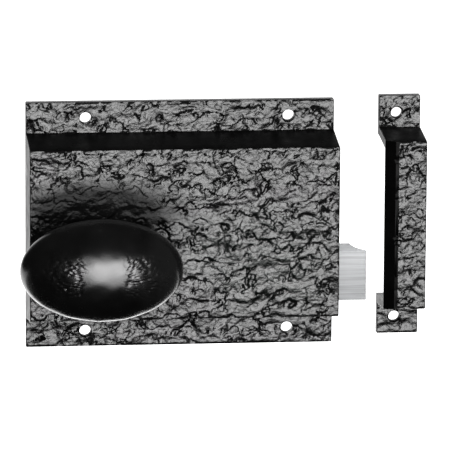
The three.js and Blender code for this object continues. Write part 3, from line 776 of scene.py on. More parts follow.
def back_plate():
    """Plate that closes the case, with a hole at the spindle and sunk holes for its screws."""
    low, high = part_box("back_plate")
    piece = block(low, high)
    soften(piece, 0.4 * MM, 3)
    depth = PLATE_THICKNESS
    spindle_hole = rod(
        PLATE_HOLE_RADIUS,
        (SPINDLE_X, PAST, SPINDLE_Z),
        (SPINDLE_X, -depth - PAST, SPINDLE_Z),
    )
    cutters = [spindle_hole]
    for node in PLATE_SCREW_NODES:
        at = centre_of(node)
        hole = PLATE_SCREW_RADIUS + GAP
        sink = 2 * PLATE_SCREW_RADIUS + GAP
        rings = [(hole, -depth - PAST), (hole, -depth + GAP), (sink, 0), (sink, PAST)]
        cutters.append(turned(rings, at.x, at.z))
    for node in FOOT_SCREW_NODES:
        at = centre_of(node)
        hole = FOOT_SCREW_RADIUS + GAP
        cutters.append(rod(hole, (at.x, PAST, at.z), (at.x, -depth - PAST, at.z), 32))
    return cut(piece, *cutters)


def slotted(piece, x, z, width, depth_y, face_y):
    """Cuts a screwdriver slot across a head, from its face in."""
    half = 4 * MM
    low_y, high_y = sorted((depth_y, face_y))
    cut(piece, block((x - half, low_y, z - width / 2), (x + half, high_y, z + width / 2)))
    return piece


def plate_screw(node):
    """Countersunk slotted screw, its thread cut as close rings."""
    low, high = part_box(node)
    at = (low + high) / 2
    neck = -PLATE_THICKNESS + GAP
    head = 2 * PLATE_SCREW_RADIUS - GAP
    core = PLATE_SCREW_RADIUS - 0.25 * MM
    pitch = PLATE_SCREW_PITCH
    ease = 0.1 * MM
    rings = [(head - ease, high.y), (head, high.y - ease), (PLATE_SCREW_RADIUS, neck)]
    rings += thread_rings(PLATE_SCREW_RADIUS, core, neck - pitch, low.y + pitch, pitch)
    rings += [(core * 0.6, low.y)]
    piece = turned(rings, at.x, at.z, sides=32)
    return slotted(piece, at.x, at.z, 0.8 * MM, high.y - SCREW_SLOT_DEPTH, PAST)


def thread_rings(crest, root, start_y, end_y, pitch):
    """Crest and root rings of a thread between two levels."""
    turns = round(abs(end_y - start_y) / pitch)
    for turn in range(turns + 1):
        y = start_y + (end_y - start_y) * turn / turns
        yield root, y
        if turn < turns:
            yield crest, y + (end_y - start_y) / turns / 2


def foot_screw(node):
    """Round-headed slotted screw through a bracket's foot into the back plate."""
    low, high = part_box(node)
    at = (low + high) / 2
    seat = low.y + FOOT_SCREW_HEAD
    head = (high.x - low.x) / 2
    core = FOOT_SCREW_RADIUS - 0.2 * MM
    thread_start = seat + 0.4 * MM
    rings = [
        (head * 0.3, low.y),
        (head * 0.68, low.y + 0.1 * MM),
        (head * 0.92, low.y + 0.35 * MM),
        (head, low.y + 0.7 * MM),
        (head, seat),
        (FOOT_SCREW_RADIUS, seat),
    ]
    rings += thread_rings(FOOT_SCREW_RADIUS, core, thread_start, high.y, FOOT_SCREW_PITCH)
    piece = turned(rings, at.x, at.z, sides=32)
    return slotted(piece, at.x, at.z, 0.6 * MM, seat - SCREW_SLOT_DEPTH, low.y - PAST)


plate = back_plate()
smooth(plate)
keep_flat(plate)
stand_for(plate, "closing_plate", "back_plate")
for i, node in enumerate(PLATE_SCREW_NODES):
    screw = plate_screw(node)
    smooth(screw)
    stand_for(screw, f"closing_screw_{i + 1}", node)
for node in FOOT_SCREW_NODES:
    screw = foot_screw(node)
    smooth(screw)
    stand_for(screw, f"slotted_{node}", node)


# ---------------------------------------------------------------- bolt, tail and spring

NOSE_THICKNESS = 2.2 * MM
BEVEL_LENGTH = 5 * MM
BEVEL_HOLLOW = (0.6 * MM, 4 * MM)  # how far the bevel's curve is drawn along and across
BEVEL_STEPS = 12
BEVEL_EASE = 0.4 * MM
BOLT_EDGE = 0.5 * MM
BOLT_CENTRE_Z = (bolt_low.z + bolt_high.z) / 2
tail_low, tail_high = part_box("bolt_tail")
rod_low, rod_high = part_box("spring_guide_rod")
SPRING_Y = (rod_low.y + rod_high.y) / 2
ROD_RADIUS = (rod_high.y - rod_low.y) / 2
RIVET_NODES = ("bolt_rivet_1", "bolt_rivet_2")
RIVET_RADIUS = 1.5 * MM
RIVET_EASE = 0.3 * MM
SHEET_EDGE = 0.4 * MM

TAIL_ROOT_LOW = -28.5 * MM
TAIL_ROOT_HIGH = -14.5 * MM
TAIL_STRIP_HIGH = -22 * MM
TAIL_STEP_LOW = (16 * MM, 24 * MM)  # where the tail's lower edge steps, along X
TAIL_STEP_HIGH = (22 * MM, 14 * MM)  # where its upper edge steps
NOTCH_LOW = -28 * MM
ARM_REACH = 15 * MM
ARM_LEAN = math.radians(24.2)
ARM_TIP_RADIUS = 2.6 * MM
ARM_WIDTH = 3.4 * MM

SPRING_TURNS = 9
STEPS_PER_TURN = 40
WIRE_SIDES = 16
WIRE_RADIUS = 0.55 * MM
CLOSED_PITCH = 2.4 * WIRE_RADIUS
SPRING_RADIUS = 4 * MM
BRACKET_THICKNESS = 2.4 * MM
BRACKET_STEP_Z = -17 * MM
BRACKET_STEP_Y = -10 * MM
BRACKET_FOOT_LOW = -14 * MM
STRAP_THICKNESS = 1.5 * MM


def curve(start, control, end, steps):
    """Points of a curve that leaves its start towards the control and arrives at its end."""
    for step in range(steps + 1):
        t = step / steps
        yield tuple(
            (1 - t) ** 2 * a + 2 * t * (1 - t) * b + t**2 * c
            for a, b, c in zip(start, control, end)
        )


def latch_bolt():
    """Bolt with a hollow bevel from its blunt nose to its back."""
    nose = bolt_low.y + NOSE_THICKNESS
    bevel_x = bolt_high.x - BEVEL_LENGTH
    along, across = BEVEL_HOLLOW
    plan = [(bolt_low.x, bolt_low.y), (bolt_high.x, bolt_low.y)]
    plan += curve(
        (bolt_high.x, nose),
        (bevel_x + along, nose + across),
        (bevel_x, bolt_high.y - BEVEL_EASE),
        BEVEL_STEPS,
    )
    plan += [(bevel_x - BEVEL_EASE, bolt_high.y), (bolt_low.x, bolt_high.y)]
    piece = prism(plan, 2, bolt_low.z, bolt_high.z)
    soften(piece, BOLT_EDGE, 3, 30)
    rebate = block(
        (bolt_low.x - PAST, tail_low.y - GAP, TAIL_ROOT_LOW - GAP),
        (tail_high.x + GAP, bolt_high.y + PAST, TAIL_ROOT_HIGH + GAP),
    )
    holes = []
    for node in RIVET_NODES:
        low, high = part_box(node)
        at = (low + high) / 2
        holes.append(
            rod(RIVET_RADIUS + GAP, (at.x, bolt_high.y, at.z), (at.x, low.y - GAP, at.z), 32)
        )
    weld(rebate, *holes)
    rod_hole = rod(
        ROD_RADIUS + GAP,
        (bolt_low.x - PAST, SPRING_Y, BOLT_CENTRE_Z),
        (rod_high.x + GAP, SPRING_Y, BOLT_CENTRE_Z),
        32,
    )
    return close_seams(cut(piece, rebate, rod_hole))


def bolt_tail():
    """Flat tail with the notch that the follower's arm works in."""
    notch_x = SPINDLE_X + ARM_REACH * math.sin(ARM_LEAN)
    notch = ARM_TIP_RADIUS + GAP
    outline = [
        (tail_low.x, tail_low.z),
        (TAIL_STEP_LOW[0], tail_low.z),
        (TAIL_STEP_LOW[1], TAIL_ROOT_LOW),
        (tail_high.x, TAIL_ROOT_LOW),
        (tail_high.x, tail_high.z),
        (TAIL_STEP_HIGH[0], tail_high.z),
        (TAIL_STEP_HIGH[1], TAIL_STRIP_HIGH),
        (notch_x + notch, TAIL_STRIP_HIGH),
        (notch_x + notch, NOTCH_LOW),
        (notch_x - notch, NOTCH_LOW),
        (notch_x - notch, TAIL_STRIP_HIGH),
        (tail_low.x, TAIL_STRIP_HIGH),
    ]
    piece = prism(outline, 1, tail_low.y, tail_high.y)
    soften(piece, SHEET_EDGE, 3)
    holes = []
    for node in RIVET_NODES:
        at = centre_of(node)
        holes.append(
            rod(RIVET_RADIUS + GAP, (at.x, PAST, at.z), (at.x, tail_low.y - PAST, at.z), 32)
        )
    return cut(piece, *holes)


def bolt_rivet(node):
    """Rivet with a domed head behind the tail and a slightly eased front end."""
    low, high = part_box(node)
    at = (low + high) / 2
    head = (high.x - low.x) / 2
    seat = bolt_high.y + GAP
    rings = [(RIVET_RADIUS - RIVET_EASE, low.y), (RIVET_RADIUS, low.y + RIVET_EASE)]
    rings += [(RIVET_RADIUS, seat), (head, seat)]
    for share_out, share_back in reversed(list(rounding(5))[:-1]):
        rings.append((head * share_out, high.y - (high.y - seat) * share_back))
    return turned(rings, at.x, at.z, sides=40)


def guide_rod():
    """Round rod that keeps the spring straight."""
    start = (rod_low.x, SPRING_Y, BOLT_CENTRE_Z)
    end = (rod_high.x, SPRING_Y, BOLT_CENTRE_Z)
    piece = rod(ROD_RADIUS, start, end)
    soften(piece, 0.4 * MM, 3)
    return piece


def bolt_spring():
    """Compression spring round the guide rod, with a closed turn at each end."""
    low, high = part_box("bolt_spring")
    start_x, end_x = low.x + WIRE_RADIUS, high.x - WIRE_RADIUS
    bpy.ops.object.select_all(action="DESELECT")
    bpy.ops.mesh.primitive_circle_add(
        vertices=WIRE_SIDES,
        radius=WIRE_RADIUS,
        location=(start_x, SPRING_Y + SPRING_RADIUS, BOLT_CENTRE_Z),
    )
    piece = bpy.context.object
    settle(piece)
    centre = bpy.data.objects.new("spring_line", None)
    bpy.context.scene.collection.objects.link(centre)
    centre.location = (start_x, SPRING_Y, BOLT_CENTRE_Z)
    bpy.context.view_layer.update()
    wind = piece.modifiers.new("wind", "SCREW")
    wind.object = centre
    wind.axis = "X"
    wind.iterations = SPRING_TURNS
    wind.steps = STEPS_PER_TURN
    wind.render_steps = STEPS_PER_TURN
    wind.screw_offset = (end_x - start_x) / SPRING_TURNS
    wind.use_merge_vertices = False
    only(piece)
    bpy.ops.object.modifier_apply(modifier=wind.name)
    bpy.data.objects.remove(centre)
    close_end_turns(piece, start_x, end_x)
    start_edit(piece)
    bpy.ops.mesh.select_mode(type="EDGE")
    bpy.ops.mesh.select_all(action="DESELECT")
    bpy.ops.mesh.select_non_manifold()
    bpy.ops.mesh.edge_face_add()
    face_outwards()
    end_edit()
    return piece


def close_end_turns(piece, start_x, end_x):
    """Shifts the evenly wound rings so that the first and last turns lie nearly closed."""
    rings = len(piece.data.vertices) // WIRE_SIDES
    even_pitch = (end_x - start_x) / SPRING_TURNS
    open_pitch = (end_x - start_x - 2 * CLOSED_PITCH) / (SPRING_TURNS - 2)
    for ring in range(rings):
        turn = SPRING_TURNS * ring / (rings - 1)
        open_turns = min(max(turn - 1, 0), SPRING_TURNS - 2)
        wanted = (turn - open_turns) * CLOSED_PITCH + open_turns * open_pitch
        for corner in piece.data.vertices[ring * WIRE_SIDES : (ring + 1) * WIRE_SIDES]:
            corner.co.x += wanted - turn * even_pitch


def foot_holes(nodes, start_y, end_y):
    """Cutters for the screws of a bracket's foot."""
    holes = []
    for node in nodes:
        at = centre_of(node)
        holes.append(rod(FOOT_SCREW_RADIUS + GAP, (at.x, start_y, at.z), (at.x, end_y, at.z), 32))
    return holes


def spring_bracket():
    """Bent bracket that the spring pushes against, with a hole for the guide rod."""
    low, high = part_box("spring_bracket")
    foot_front = high.y - STRAP_THICKNESS
    outline = [
        (high.y, BRACKET_STEP_Z),
        (BRACKET_STEP_Y, BRACKET_STEP_Z),
        (BRACKET_STEP_Y, low.z),
        (low.y, low.z),
        (low.y, high.z),
        (high.y, high.z),
    ]
    piece = prism(outline, 0, low.x, low.x + BRACKET_THICKNESS)
    foot = block((low.x + 1 * MM, foot_front, BRACKET_FOOT_LOW), (high.x, high.y, high.z))
    weld(piece, foot)
    soften(piece, SHEET_EDGE, 3)
    hole = rod(
        ROD_RADIUS + GAP,
        (low.x - PAST, SPRING_Y, BOLT_CENTRE_Z),
        (2 * PAST, SPRING_Y, BOLT_CENTRE_Z),
        32,
    )
    return cut(piece, hole, *foot_holes(FOOT_SCREW_NODES[:2], PAST, foot_front - PAST))


def tail_guide():
    """Bent strap that holds the tail against the back plate."""
    low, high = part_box("tail_guide")
    strap = STRAP_THICKNESS
    inner_top = TAIL_STRIP_HIGH + GAP
    inner_low = tail_low.z - GAP
    inner_front = tail_low.y - GAP
    outline = [
        (high.y, high.z),
        (high.y - strap, high.z),
        (high.y - strap, inner_top + strap),
        (low.y, inner_top + strap),
        (low.y, low.z),
        (high.y, low.z),
        (high.y, inner_low),
        (inner_front, inner_low),
        (inner_front, inner_top),
        (high.y, inner_top),
    ]
    piece = prism(outline, 0, low.x, high.x)
    soften(piece, 0.35 * MM, 3)
    return cut(piece, *foot_holes(FOOT_SCREW_NODES[2:], PAST, high.y - strap - PAST))


for name, node, made in (
    ("bolt_body", "latch_bolt", latch_bolt()),
    ("notched_tail", "bolt_tail", bolt_tail()),
    ("tail_rivet_1", "bolt_rivet_1", bolt_rivet("bolt_rivet_1")),
    ("tail_rivet_2", "bolt_rivet_2", bolt_rivet("bolt_rivet_2")),
    ("guide_rod", "spring_guide_rod", guide_rod()),
    ("spring_stop", "spring_bracket", spring_bracket()),
    ("tail_strap", "tail_guide", tail_guide()),
):
    smooth(made)
    stand_for(made, name, node)

spring = bolt_spring()
smooth(spring, 60)
stand_for(spring, "wound_spring", "bolt_spring")
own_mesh(spring)


# ---------------------------------------------------------------- knob, spindle and follower

KNOB_DEPTH = 17.5 * MM  # from the widest ring of the oval to its front
KNOB_UNIT = 10 * MM
DENT_DEPTH = 0.45 * MM
CREASE_DEPTH = 0.16 * MM
CREASE_ASIDE = (7 * MM, 11 * MM)  # the creases lie to the left and right of the middle
CREASE_LEVEL = (6 * MM, 10 * MM)  # and near its level
NECK_RADIUS = 8.5 * MM
NECK_LENGTH = 6 * MM
NECK_EASE = 0.5 * MM
GRUB_Y = -30.2 * MM
GRUB_SLOT_WIDTH = 0.6 * MM
GRUB_SLOT_DEPTH = 0.8 * MM
SPINDLE_FLATS = 7.6 * MM
SPINDLE_EASE = 0.5 * MM
GROOVE_RADIUS = 4 * MM
TAIL_BAR_SLOT = Vector((1.3, 10, 3.5)) * MM  # half its width, its depth, and half its height
BUSH_FLANGE = 2 * MM
HUB_RADIUS = 8 * MM
CLIP_MOUTH = 0.5  # half the clip's opening, in radians
CLIP_STEPS = 40
CLIP_HOLE_RADIUS = 0.5 * MM
washer_low, washer_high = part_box("follower_washer")
follower_low, follower_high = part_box("follower")
clip_low, clip_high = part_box("spindle_circlip")


def knob_skin():
    """Oval with shallow dents and a few creases round its front."""
    bpy.ops.object.select_all(action="DESELECT")
    half = (knob_high.x - knob_low.x) / 2
    tall = (knob_high.z - knob_low.z) / 2
    centre = Vector((SPINDLE_X, knob_low.y + KNOB_DEPTH, SPINDLE_Z))
    bpy.ops.mesh.primitive_uv_sphere_add(
        segments=256, ring_count=128, radius=1, rotation=(math.pi / 2, 0, 0), location=centre
    )
    piece = bpy.context.object
    piece.scale = (half, tall, KNOB_DEPTH)
    settle(piece)

    def dent_share(co, normal):
        return between(-normal.y, -0.2, 0.3)

    def crease_share(co, normal):
        aside = between(abs(co.x - centre.x), *CREASE_ASIDE)
        level = 1 - between(abs(co.z - centre.z), *CREASE_LEVEL)
        return aside * level * between(-normal.y, 0.7, 0.85)

    weigh(piece, "dent", dent_share)
    weigh(piece, "crease", crease_share)
    space = pattern_space(KNOB_UNIT, 1.2)
    roughen(piece, "dent", texture("CLOUDS", 0.9, noise_depth=1), space, DENT_DEPTH, 0.5)
    creases = texture(
        "DISTORTED_NOISE",
        0.38,
        noise_basis="VORONOI_CRACKLE",
        noise_distortion="IMPROVED_PERLIN",
        distortion=1.2,
    )
    roughen(piece, "crease", creases, space, CREASE_DEPTH)
    bpy.data.objects.remove(space)
    return piece


def knob():
    """Oval knob on a short flared neck, bored from behind for the spindle."""
    piece = knob_skin()
    bore_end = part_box("knob_spindle")[0].y - GAP
    flare = knob_high.y - NECK_LENGTH
    neck = turned(
        [
            (NECK_RADIUS - NECK_EASE, knob_high.y),
            (NECK_RADIUS, knob_high.y - NECK_EASE),
            (NECK_RADIUS, flare),
            (NECK_RADIUS + 0.4 * MM, flare - 1.2 * MM),
            (NECK_RADIUS + 1.4 * MM, flare - 2.2 * MM),
            (NECK_RADIUS + 3 * MM, flare - 2.9 * MM),
            (NECK_RADIUS, bore_end),
        ],
        SPINDLE_X,
        SPINDLE_Z,
        sides=96,
    )
    weld(piece, neck)
    bore = rod(
        SPINDLE_RADIUS + GAP, (SPINDLE_X, 0, SPINDLE_Z), (SPINDLE_X, bore_end, SPINDLE_Z), 64
    )
    grub_low, grub_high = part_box("knob_grub_screw")
    grub_radius = (grub_high.x - grub_low.x) / 2
    tapped = rod(
        grub_radius + GAP,
        (SPINDLE_X, GRUB_Y, SPINDLE_Z),
        (SPINDLE_X, GRUB_Y, SPINDLE_Z - NECK_RADIUS - PAST),
        32,
    )
    weld(bore, tapped)
    return cut(piece, bore)


def grub_screw():
    """Headless slotted screw in the side of the knob's neck."""
    low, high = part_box("knob_grub_screw")
    radius = (high.x - low.x) / 2
    piece = rod(radius, (SPINDLE_X, GRUB_Y, low.z), (SPINDLE_X, GRUB_Y, high.z), 40)
    soften(piece, 0.3 * MM)
    slot = block(
        (low.x - PAST, GRUB_Y - GRUB_SLOT_WIDTH / 2, low.z - PAST),
        (high.x + PAST, GRUB_Y + GRUB_SLOT_WIDTH / 2, low.z + GRUB_SLOT_DEPTH),
    )
    return cut(piece, slot)


def knob_spindle():
    """Turned spindle with a clip groove, two flats, and a slot in its back end."""
    ease = SPINDLE_EASE
    groove_front, groove_back = clip_low.y - GAP / 2, clip_high.y + GAP / 2
    piece = turned(
        [
            (SPINDLE_RADIUS - ease, spindle_low.y),
            (SPINDLE_RADIUS, spindle_low.y + ease),
            (SPINDLE_RADIUS, groove_front),
            (GROOVE_RADIUS, groove_front),
            (GROOVE_RADIUS, groove_back),
            (SPINDLE_RADIUS, groove_back),
            (SPINDLE_RADIUS, spindle_high.y - ease / 4),
            (SPINDLE_RADIUS - ease / 4, spindle_high.y),
        ],
        SPINDLE_X,
        SPINDLE_Z,
        sides=96,
    )
    cutters = []
    for side in (-1, 1):
        near_x = SPINDLE_X + side * SPINDLE_FLATS / 2
        far_x = near_x + side * SPINDLE_RADIUS
        cutters.append(
            block(
                (min(near_x, far_x), follower_low.y, SPINDLE_Z - 2 * SPINDLE_RADIUS),
                (max(near_x, far_x), follower_high.y, SPINDLE_Z + 2 * SPINDLE_RADIUS),
            )
        )
    half, deep, tall = TAIL_BAR_SLOT
    slot = block(
        (SPINDLE_X - half, spindle_high.y - deep, SPINDLE_Z - tall),
        (SPINDLE_X + half, PAST, SPINDLE_Z + tall),
    )
    weld(slot, *cutters)
    return cut(piece, slot)


def spindle_bush():
    """Flanged bearing with all its rims eased."""
    low, high = bush_low, bush_high
    flange_front = high.y - BUSH_FLANGE
    bore, ease = SPINDLE_RADIUS + GAP, 0.3 * MM
    flange_radius = (high.x - low.x) / 2
    return turned(
        [
            (bore, low.y + ease),
            (bore + ease, low.y),
            (BUSH_RADIUS - ease, low.y),
            (BUSH_RADIUS, low.y + ease),
            (BUSH_RADIUS, flange_front),
            (flange_radius - ease, flange_front),
            (flange_radius, flange_front + ease),
            (flange_radius, high.y - ease),
            (flange_radius - ease, high.y),
            (bore + ease, high.y),
            (bore, high.y - ease),
            (bore, low.y + ease),
        ],
        SPINDLE_X,
        SPINDLE_Z,
        bored=True,
        sides=96,
    )


def follower_washer():
    """Thrust washer with an eased rim."""
    low, high = washer_low, washer_high
    bore, ease = SPINDLE_RADIUS + GAP, 0.2 * MM
    rim = (high.x - low.x) / 2
    return turned(
        [
            (bore, low.y),
            (rim - ease, low.y),
            (rim, low.y + ease),
            (rim, high.y - ease),
            (rim - ease, high.y),
            (bore, high.y),
            (bore, low.y),
        ],
        SPINDLE_X,
        SPINDLE_Z,
        bored=True,
        sides=96,
    )


def follower():
    """Hub on the spindle's flats, with the leaning arm that draws the bolt's tail."""
    low, high = follower_low, follower_high
    arm_front, arm_back = tail_low.y, tail_high.y
    hub = rod(HUB_RADIUS, (SPINDLE_X, high.y, SPINDLE_Z), (SPINDLE_X, low.y, SPINDLE_Z), 96)
    down = Vector((math.sin(ARM_LEAN), 0, -math.cos(ARM_LEAN)))
    side = Vector((math.cos(ARM_LEAN), 0, math.sin(ARM_LEAN)))
    root = Vector((SPINDLE_X, 0, SPINDLE_Z)) + down * (HUB_RADIUS - PAST)
    tip = Vector((SPINDLE_X, 0, SPINDLE_Z)) + down * ARM_REACH
    half = side * ARM_WIDTH / 2
    corners = [root - half, tip - half, tip + half, root + half]
    stem = prism([(c.x, c.z) for c in corners], 1, arm_front, arm_back)
    knuckle = rod(ARM_TIP_RADIUS, (tip.x, arm_back, tip.z), (tip.x, arm_front, tip.z), 64)
    weld(stem, knuckle)
    weld(hub, stem)
    soften(hub, 0.3 * MM, 3)
    flat = SPINDLE_FLATS / 2 + GAP
    bore = rod(
        SPINDLE_RADIUS + GAP,
        (SPINDLE_X, PAST, SPINDLE_Z),
        (SPINDLE_X, low.y - PAST, SPINDLE_Z),
        96,
    )
    band = block(
        (SPINDLE_X - flat, low.y - 2 * PAST, SPINDLE_Z - 2 * SPINDLE_RADIUS),
        (SPINDLE_X + flat, 2 * PAST, SPINDLE_Z + 2 * SPINDLE_RADIUS),
    )
    combine(bore, "INTERSECT", band)
    return close_seams(cut(hub, bore))


def spindle_circlip():
    """Open spring ring that snaps into the spindle's groove, with a plier hole in each end."""
    outer = (clip_high.x - clip_low.x) / 2
    inner = GROOVE_RADIUS + GAP
    first = math.pi / 2 + CLIP_MOUTH
    round_it = 2 * math.pi - 2 * CLIP_MOUTH
    angles = [first + round_it * step / CLIP_STEPS for step in range(CLIP_STEPS + 1)]
    ring = [(outer, a) for a in angles] + [(inner, a) for a in reversed(angles)]
    outline = [(SPINDLE_X + r * math.cos(a), SPINDLE_Z + r * math.sin(a)) for r, a in ring]
    piece = prism(outline, 1, clip_low.y, clip_high.y)
    soften(piece, 0.12 * MM, 2, 50)
    middle_radius = (outer + inner) / 2
    holes = []
    for angle in (angles[2], angles[-3]):
        x = SPINDLE_X + middle_radius * math.cos(angle)
        z = SPINDLE_Z + middle_radius * math.sin(angle)
        holes.append(rod(CLIP_HOLE_RADIUS, (x, PAST, z), (x, clip_low.y - PAST, z), 20))
    return cut(piece, *holes)


for name, node, made, angle in (
    ("knob_oval", "knob", knob(), 45),
    ("neck_grub_screw", "knob_grub_screw", grub_screw(), 35),
    ("turned_spindle", "knob_spindle", knob_spindle(), 35),
    ("flanged_bush", "spindle_bush", spindle_bush(), 35),
    ("thrust_washer", "follower_washer", follower_washer(), 35),
    ("follower_arm", "follower", follower(), 35),
    ("spring_circlip", "spindle_circlip", spindle_circlip(), 35),
):
    smooth(made, angle)
    stand_for(made, name, node)


# ---------------------------------------------------------------- keep

KEEP_FLANGE = 13 * MM
KEEP_DRAFT = 2 * MM
KEEP_WALL = 3.5 * MM
KEEP_HOLE_RADIUS = 2.3 * MM
KEEP_HOLE_X = 89.5 * MM
KEEP_HOLE_SPACING = 86 * MM
LEAD_IN_WIDTH = 4.2 * MM
LEAD_IN_DROP = 1.7 * MM
LEDGE_WIDTH = 1.4 * MM
LEDGE_DROP = 0.6 * MM
LIP = (0.4 * MM, 0.6 * MM)  # how far the slope's outer end is eased, across and down


def lead_in_cutter():
    """Form that lowers the front beside the mouth to a ledge, then slopes it away."""
    ledge_x = keep_low.x + LEAD_IN_WIDTH
    ledge_y = FRONT_Y + LEDGE_DROP
    lip_y = ledge_y + LEAD_IN_DROP
    outside = keep_low.x - PAST
    lip_wide, lip_deep = LIP
    plan = [
        (outside, FRONT_Y - PAST),
        (ledge_x + LEDGE_WIDTH, FRONT_Y - PAST),
        (ledge_x + LEDGE_WIDTH, ledge_y),
        (ledge_x, ledge_y),
        (keep_low.x + lip_wide, lip_y),
        (keep_low.x, lip_y + lip_deep),
        (outside, lip_y + lip_deep),
    ]
    return prism(plan, 2, keep_low.z - PAST, keep_high.z + PAST)


def box_keep():
    """Rough casting with its hollow open towards the bolt, and a smooth lead-in at the mouth."""
    piece = hat_skin(keep_low, keep_high, KEEP_FLANGE, KEEP_DRAFT)
    bark_skin(piece, 1.05, 0.95)
    hollow = hollow_cutter(
        keep_low,
        keep_high,
        KEEP_FLANGE,
        KEEP_DRAFT,
        KEEP_WALL,
        keep_low.x - PAST,
        keep_high.x - KEEP_WALL,
    )
    middle_z = (keep_low.z + keep_high.z) / 2
    holes = [
        fixing_hole(KEEP_HOLE_X, middle_z + side * KEEP_HOLE_SPACING / 2, KEEP_HOLE_RADIUS)
        for side in (-1, 1)
    ]
    return cut(cut(piece, hollow, *holes), lead_in_cutter())


def coat_lead_in(piece):
    """Gives the ledge and the slope beside the mouth the duller enamel."""
    raised_x = keep_low.x + LEAD_IN_WIDTH + LEDGE_WIDTH
    deepest_y = FRONT_Y + 4 * MM
    for face in piece.data.polygons:
        place = face.center
        if place.x < raised_x - HAIR and place.y < deepest_y and face.normal.y < -0.5:
            face.material_index = 1


keep = box_keep()
smooth(keep, 50)
keep_flat(keep)
stand_for(keep, "keep_casting", "keep")
coat_walls(keep, KEEP_FLANGE, KEEP_DRAFT, keep_low, keep_high)
coat_lead_in(keep)


# ---------------------------------------------------------------- camera, floor and light

VIEW_AZIMUTH = math.radians(-6.195)
VIEW_HEIGHT = math.radians(11.94)
VIEW_ROLL = math.radians(0.368)
VIEW_DISTANCE = 2.305
VIEW_WIDTH = 0.1848
LOOKED_AT = Vector((0.01776, -0.013, 0.00094))
SENSOR = 36
FLOOR_Z = -0.35
FLOOR_SIZE = 6
FLOOR_BACK_Y = 3.3
FRONT_LIGHT_FADE = 0.5  # share of the softbox's height that fades at its top and at its bottom
WORLD_BEHIND = 0.95
WORLD_BEFORE = 0.02
WORLD_BESIDE = 0.14


def camera():
    """Long lens that looks slightly down at the set, from a little to its left."""
    back = Vector(
        (
            math.sin(VIEW_AZIMUTH) * math.cos(VIEW_HEIGHT),
            -math.cos(VIEW_AZIMUTH) * math.cos(VIEW_HEIGHT),
            math.sin(VIEW_HEIGHT),
        )
    )
    lens = bpy.data.cameras.new("camera")
    lens.sensor_width = SENSOR
    lens.lens = SENSOR * VIEW_DISTANCE / VIEW_WIDTH
    lens.clip_start, lens.clip_end = 0.1, 50
    made = bpy.data.objects.new("camera", lens)
    bpy.context.scene.collection.objects.link(made)
    made.rotation_mode = "QUATERNION"
    made.rotation_quaternion = (-back).to_track_quat("-Z", "Y") @ Matrix.Rotation(
        VIEW_ROLL, 3, "Z"
    ).to_quaternion()
    made.location = LOOKED_AT + back * VIEW_DISTANCE
    bpy.context.scene.camera = made


def floor():
    """Plain pale floor, which glows a little so that it stays even."""
    bpy.ops.object.select_all(action="DESELECT")
    bpy.ops.mesh.primitive_plane_add(size=FLOOR_SIZE, location=(0, FLOOR_BACK_Y, FLOOR_Z))
    made = bpy.context.object
    made.name = "floor"
    pale, _, _, shader = new_material("pale_floor")
    shader.inputs["Base Color"].default_value = (0.9, 0.9, 0.9, 1)
    shader.inputs["Roughness"].default_value = 0.9
    shader.inputs["Specular IOR Level"].default_value = 0.1
    shader.inputs["Emission Color"].default_value = (1, 1, 1, 1)
    shader.inputs["Emission Strength"].default_value = 0.9
    made.data.materials.append(pale)


def softbox(name, place, aim, size, power):
    """Rectangular studio light at a place, aimed at another."""
    light = bpy.data.lights.new(name, "AREA")
    light.shape = "RECTANGLE"
    light.size, light.size_y = size
    light.energy = power
    made = bpy.data.objects.new(name, light)
    bpy.context.scene.collection.objects.link(made)
    made.location = place
    made.rotation_mode = "QUATERNION"
    made.rotation_quaternion = (Vector(aim) - Vector(place)).to_track_quat("-Z", "Y")
    made.visible_camera = False
    return made


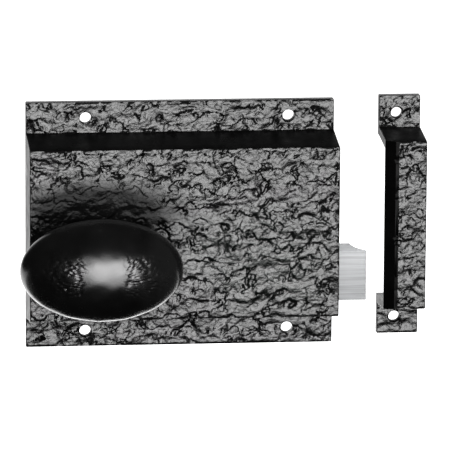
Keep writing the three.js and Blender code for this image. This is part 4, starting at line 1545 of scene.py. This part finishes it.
def feather(light, edge):
    """Fades a softbox towards its top and bottom edges."""
    light.use_nodes = True
    nodes, links = light.node_tree.nodes, light.node_tree.links
    across = nodes.new("ShaderNodeNewGeometry")
    parts = nodes.new("ShaderNodeSeparateXYZ")
    links.new(across.outputs["Parametric"], parts.inputs["Vector"])
    rise = span_node(nodes, links, parts.outputs["Y"], (0, edge), (0, 1), "SMOOTHSTEP")
    fall = span_node(nodes, links, parts.outputs["Y"], (1 - edge, 1), (1, 0), "SMOOTHSTEP")
    both = nodes.new("ShaderNodeMath")
    both.operation = "MULTIPLY"
    links.new(rise, both.inputs[0])
    links.new(fall, both.inputs[1])
    links.new(both.outputs["Value"], nodes["Emission"].inputs["Strength"])


def surroundings():
    """White behind the latch and dark before it, as in a small product studio."""
    world = bpy.data.worlds.new("studio")
    bpy.context.scene.world = world
    world.use_nodes = True
    nodes, links = world.node_tree.nodes, world.node_tree.links
    nodes.clear()
    coords = nodes.new("ShaderNodeTexCoord")
    parts = nodes.new("ShaderNodeSeparateXYZ")
    links.new(coords.outputs["Generated"], parts.inputs["Vector"])
    to_behind = (WORLD_BEFORE, WORLD_BEHIND)
    behind = span_node(nodes, links, parts.outputs["Y"], (0.82, 0.97), to_behind)
    beside = span_node(nodes, links, parts.outputs["X"], (0.4, 0.95), (0.0, WORLD_BESIDE))
    total = nodes.new("ShaderNodeMath")
    total.operation = "ADD"
    links.new(behind, total.inputs[0])
    links.new(beside, total.inputs[1])
    around = nodes.new("ShaderNodeBackground")
    links.new(total.outputs["Value"], around.inputs["Strength"])
    plain = nodes.new("ShaderNodeBackground")
    plain.inputs["Strength"].default_value = 1.0
    rays = nodes.new("ShaderNodeLightPath")
    choice = nodes.new("ShaderNodeMixShader")
    links.new(rays.outputs["Is Camera Ray"], choice.inputs["Fac"])
    links.new(around.outputs["Background"], choice.inputs[1])
    links.new(plain.outputs["Background"], choice.inputs[2])
    out = nodes.new("ShaderNodeOutputWorld")
    links.new(choice.outputs["Shader"], out.inputs["Surface"])
    for background in (around, plain):
        background.inputs["Color"].default_value = (1, 1, 1, 1)


camera()
floor()
surroundings()
front_light = softbox(
    name="front_softbox",
    place=(0.32, -2.62, 0.2),
    aim=(-0.036, -0.05, 0.2),
    size=(1.8, 3.4),
    power=290,
)
feather(front_light.data, FRONT_LIGHT_FADE)
top_fill = softbox(
    name="top_fill",
    place=(0.05, -0.2, 1.2),
    aim=(0.02, 0, 0),
    size=(1.2, 1.2),
    power=85,
)
top_fill.visible_glossy = False
bpy.context.scene.view_settings.view_transform = "Standard"
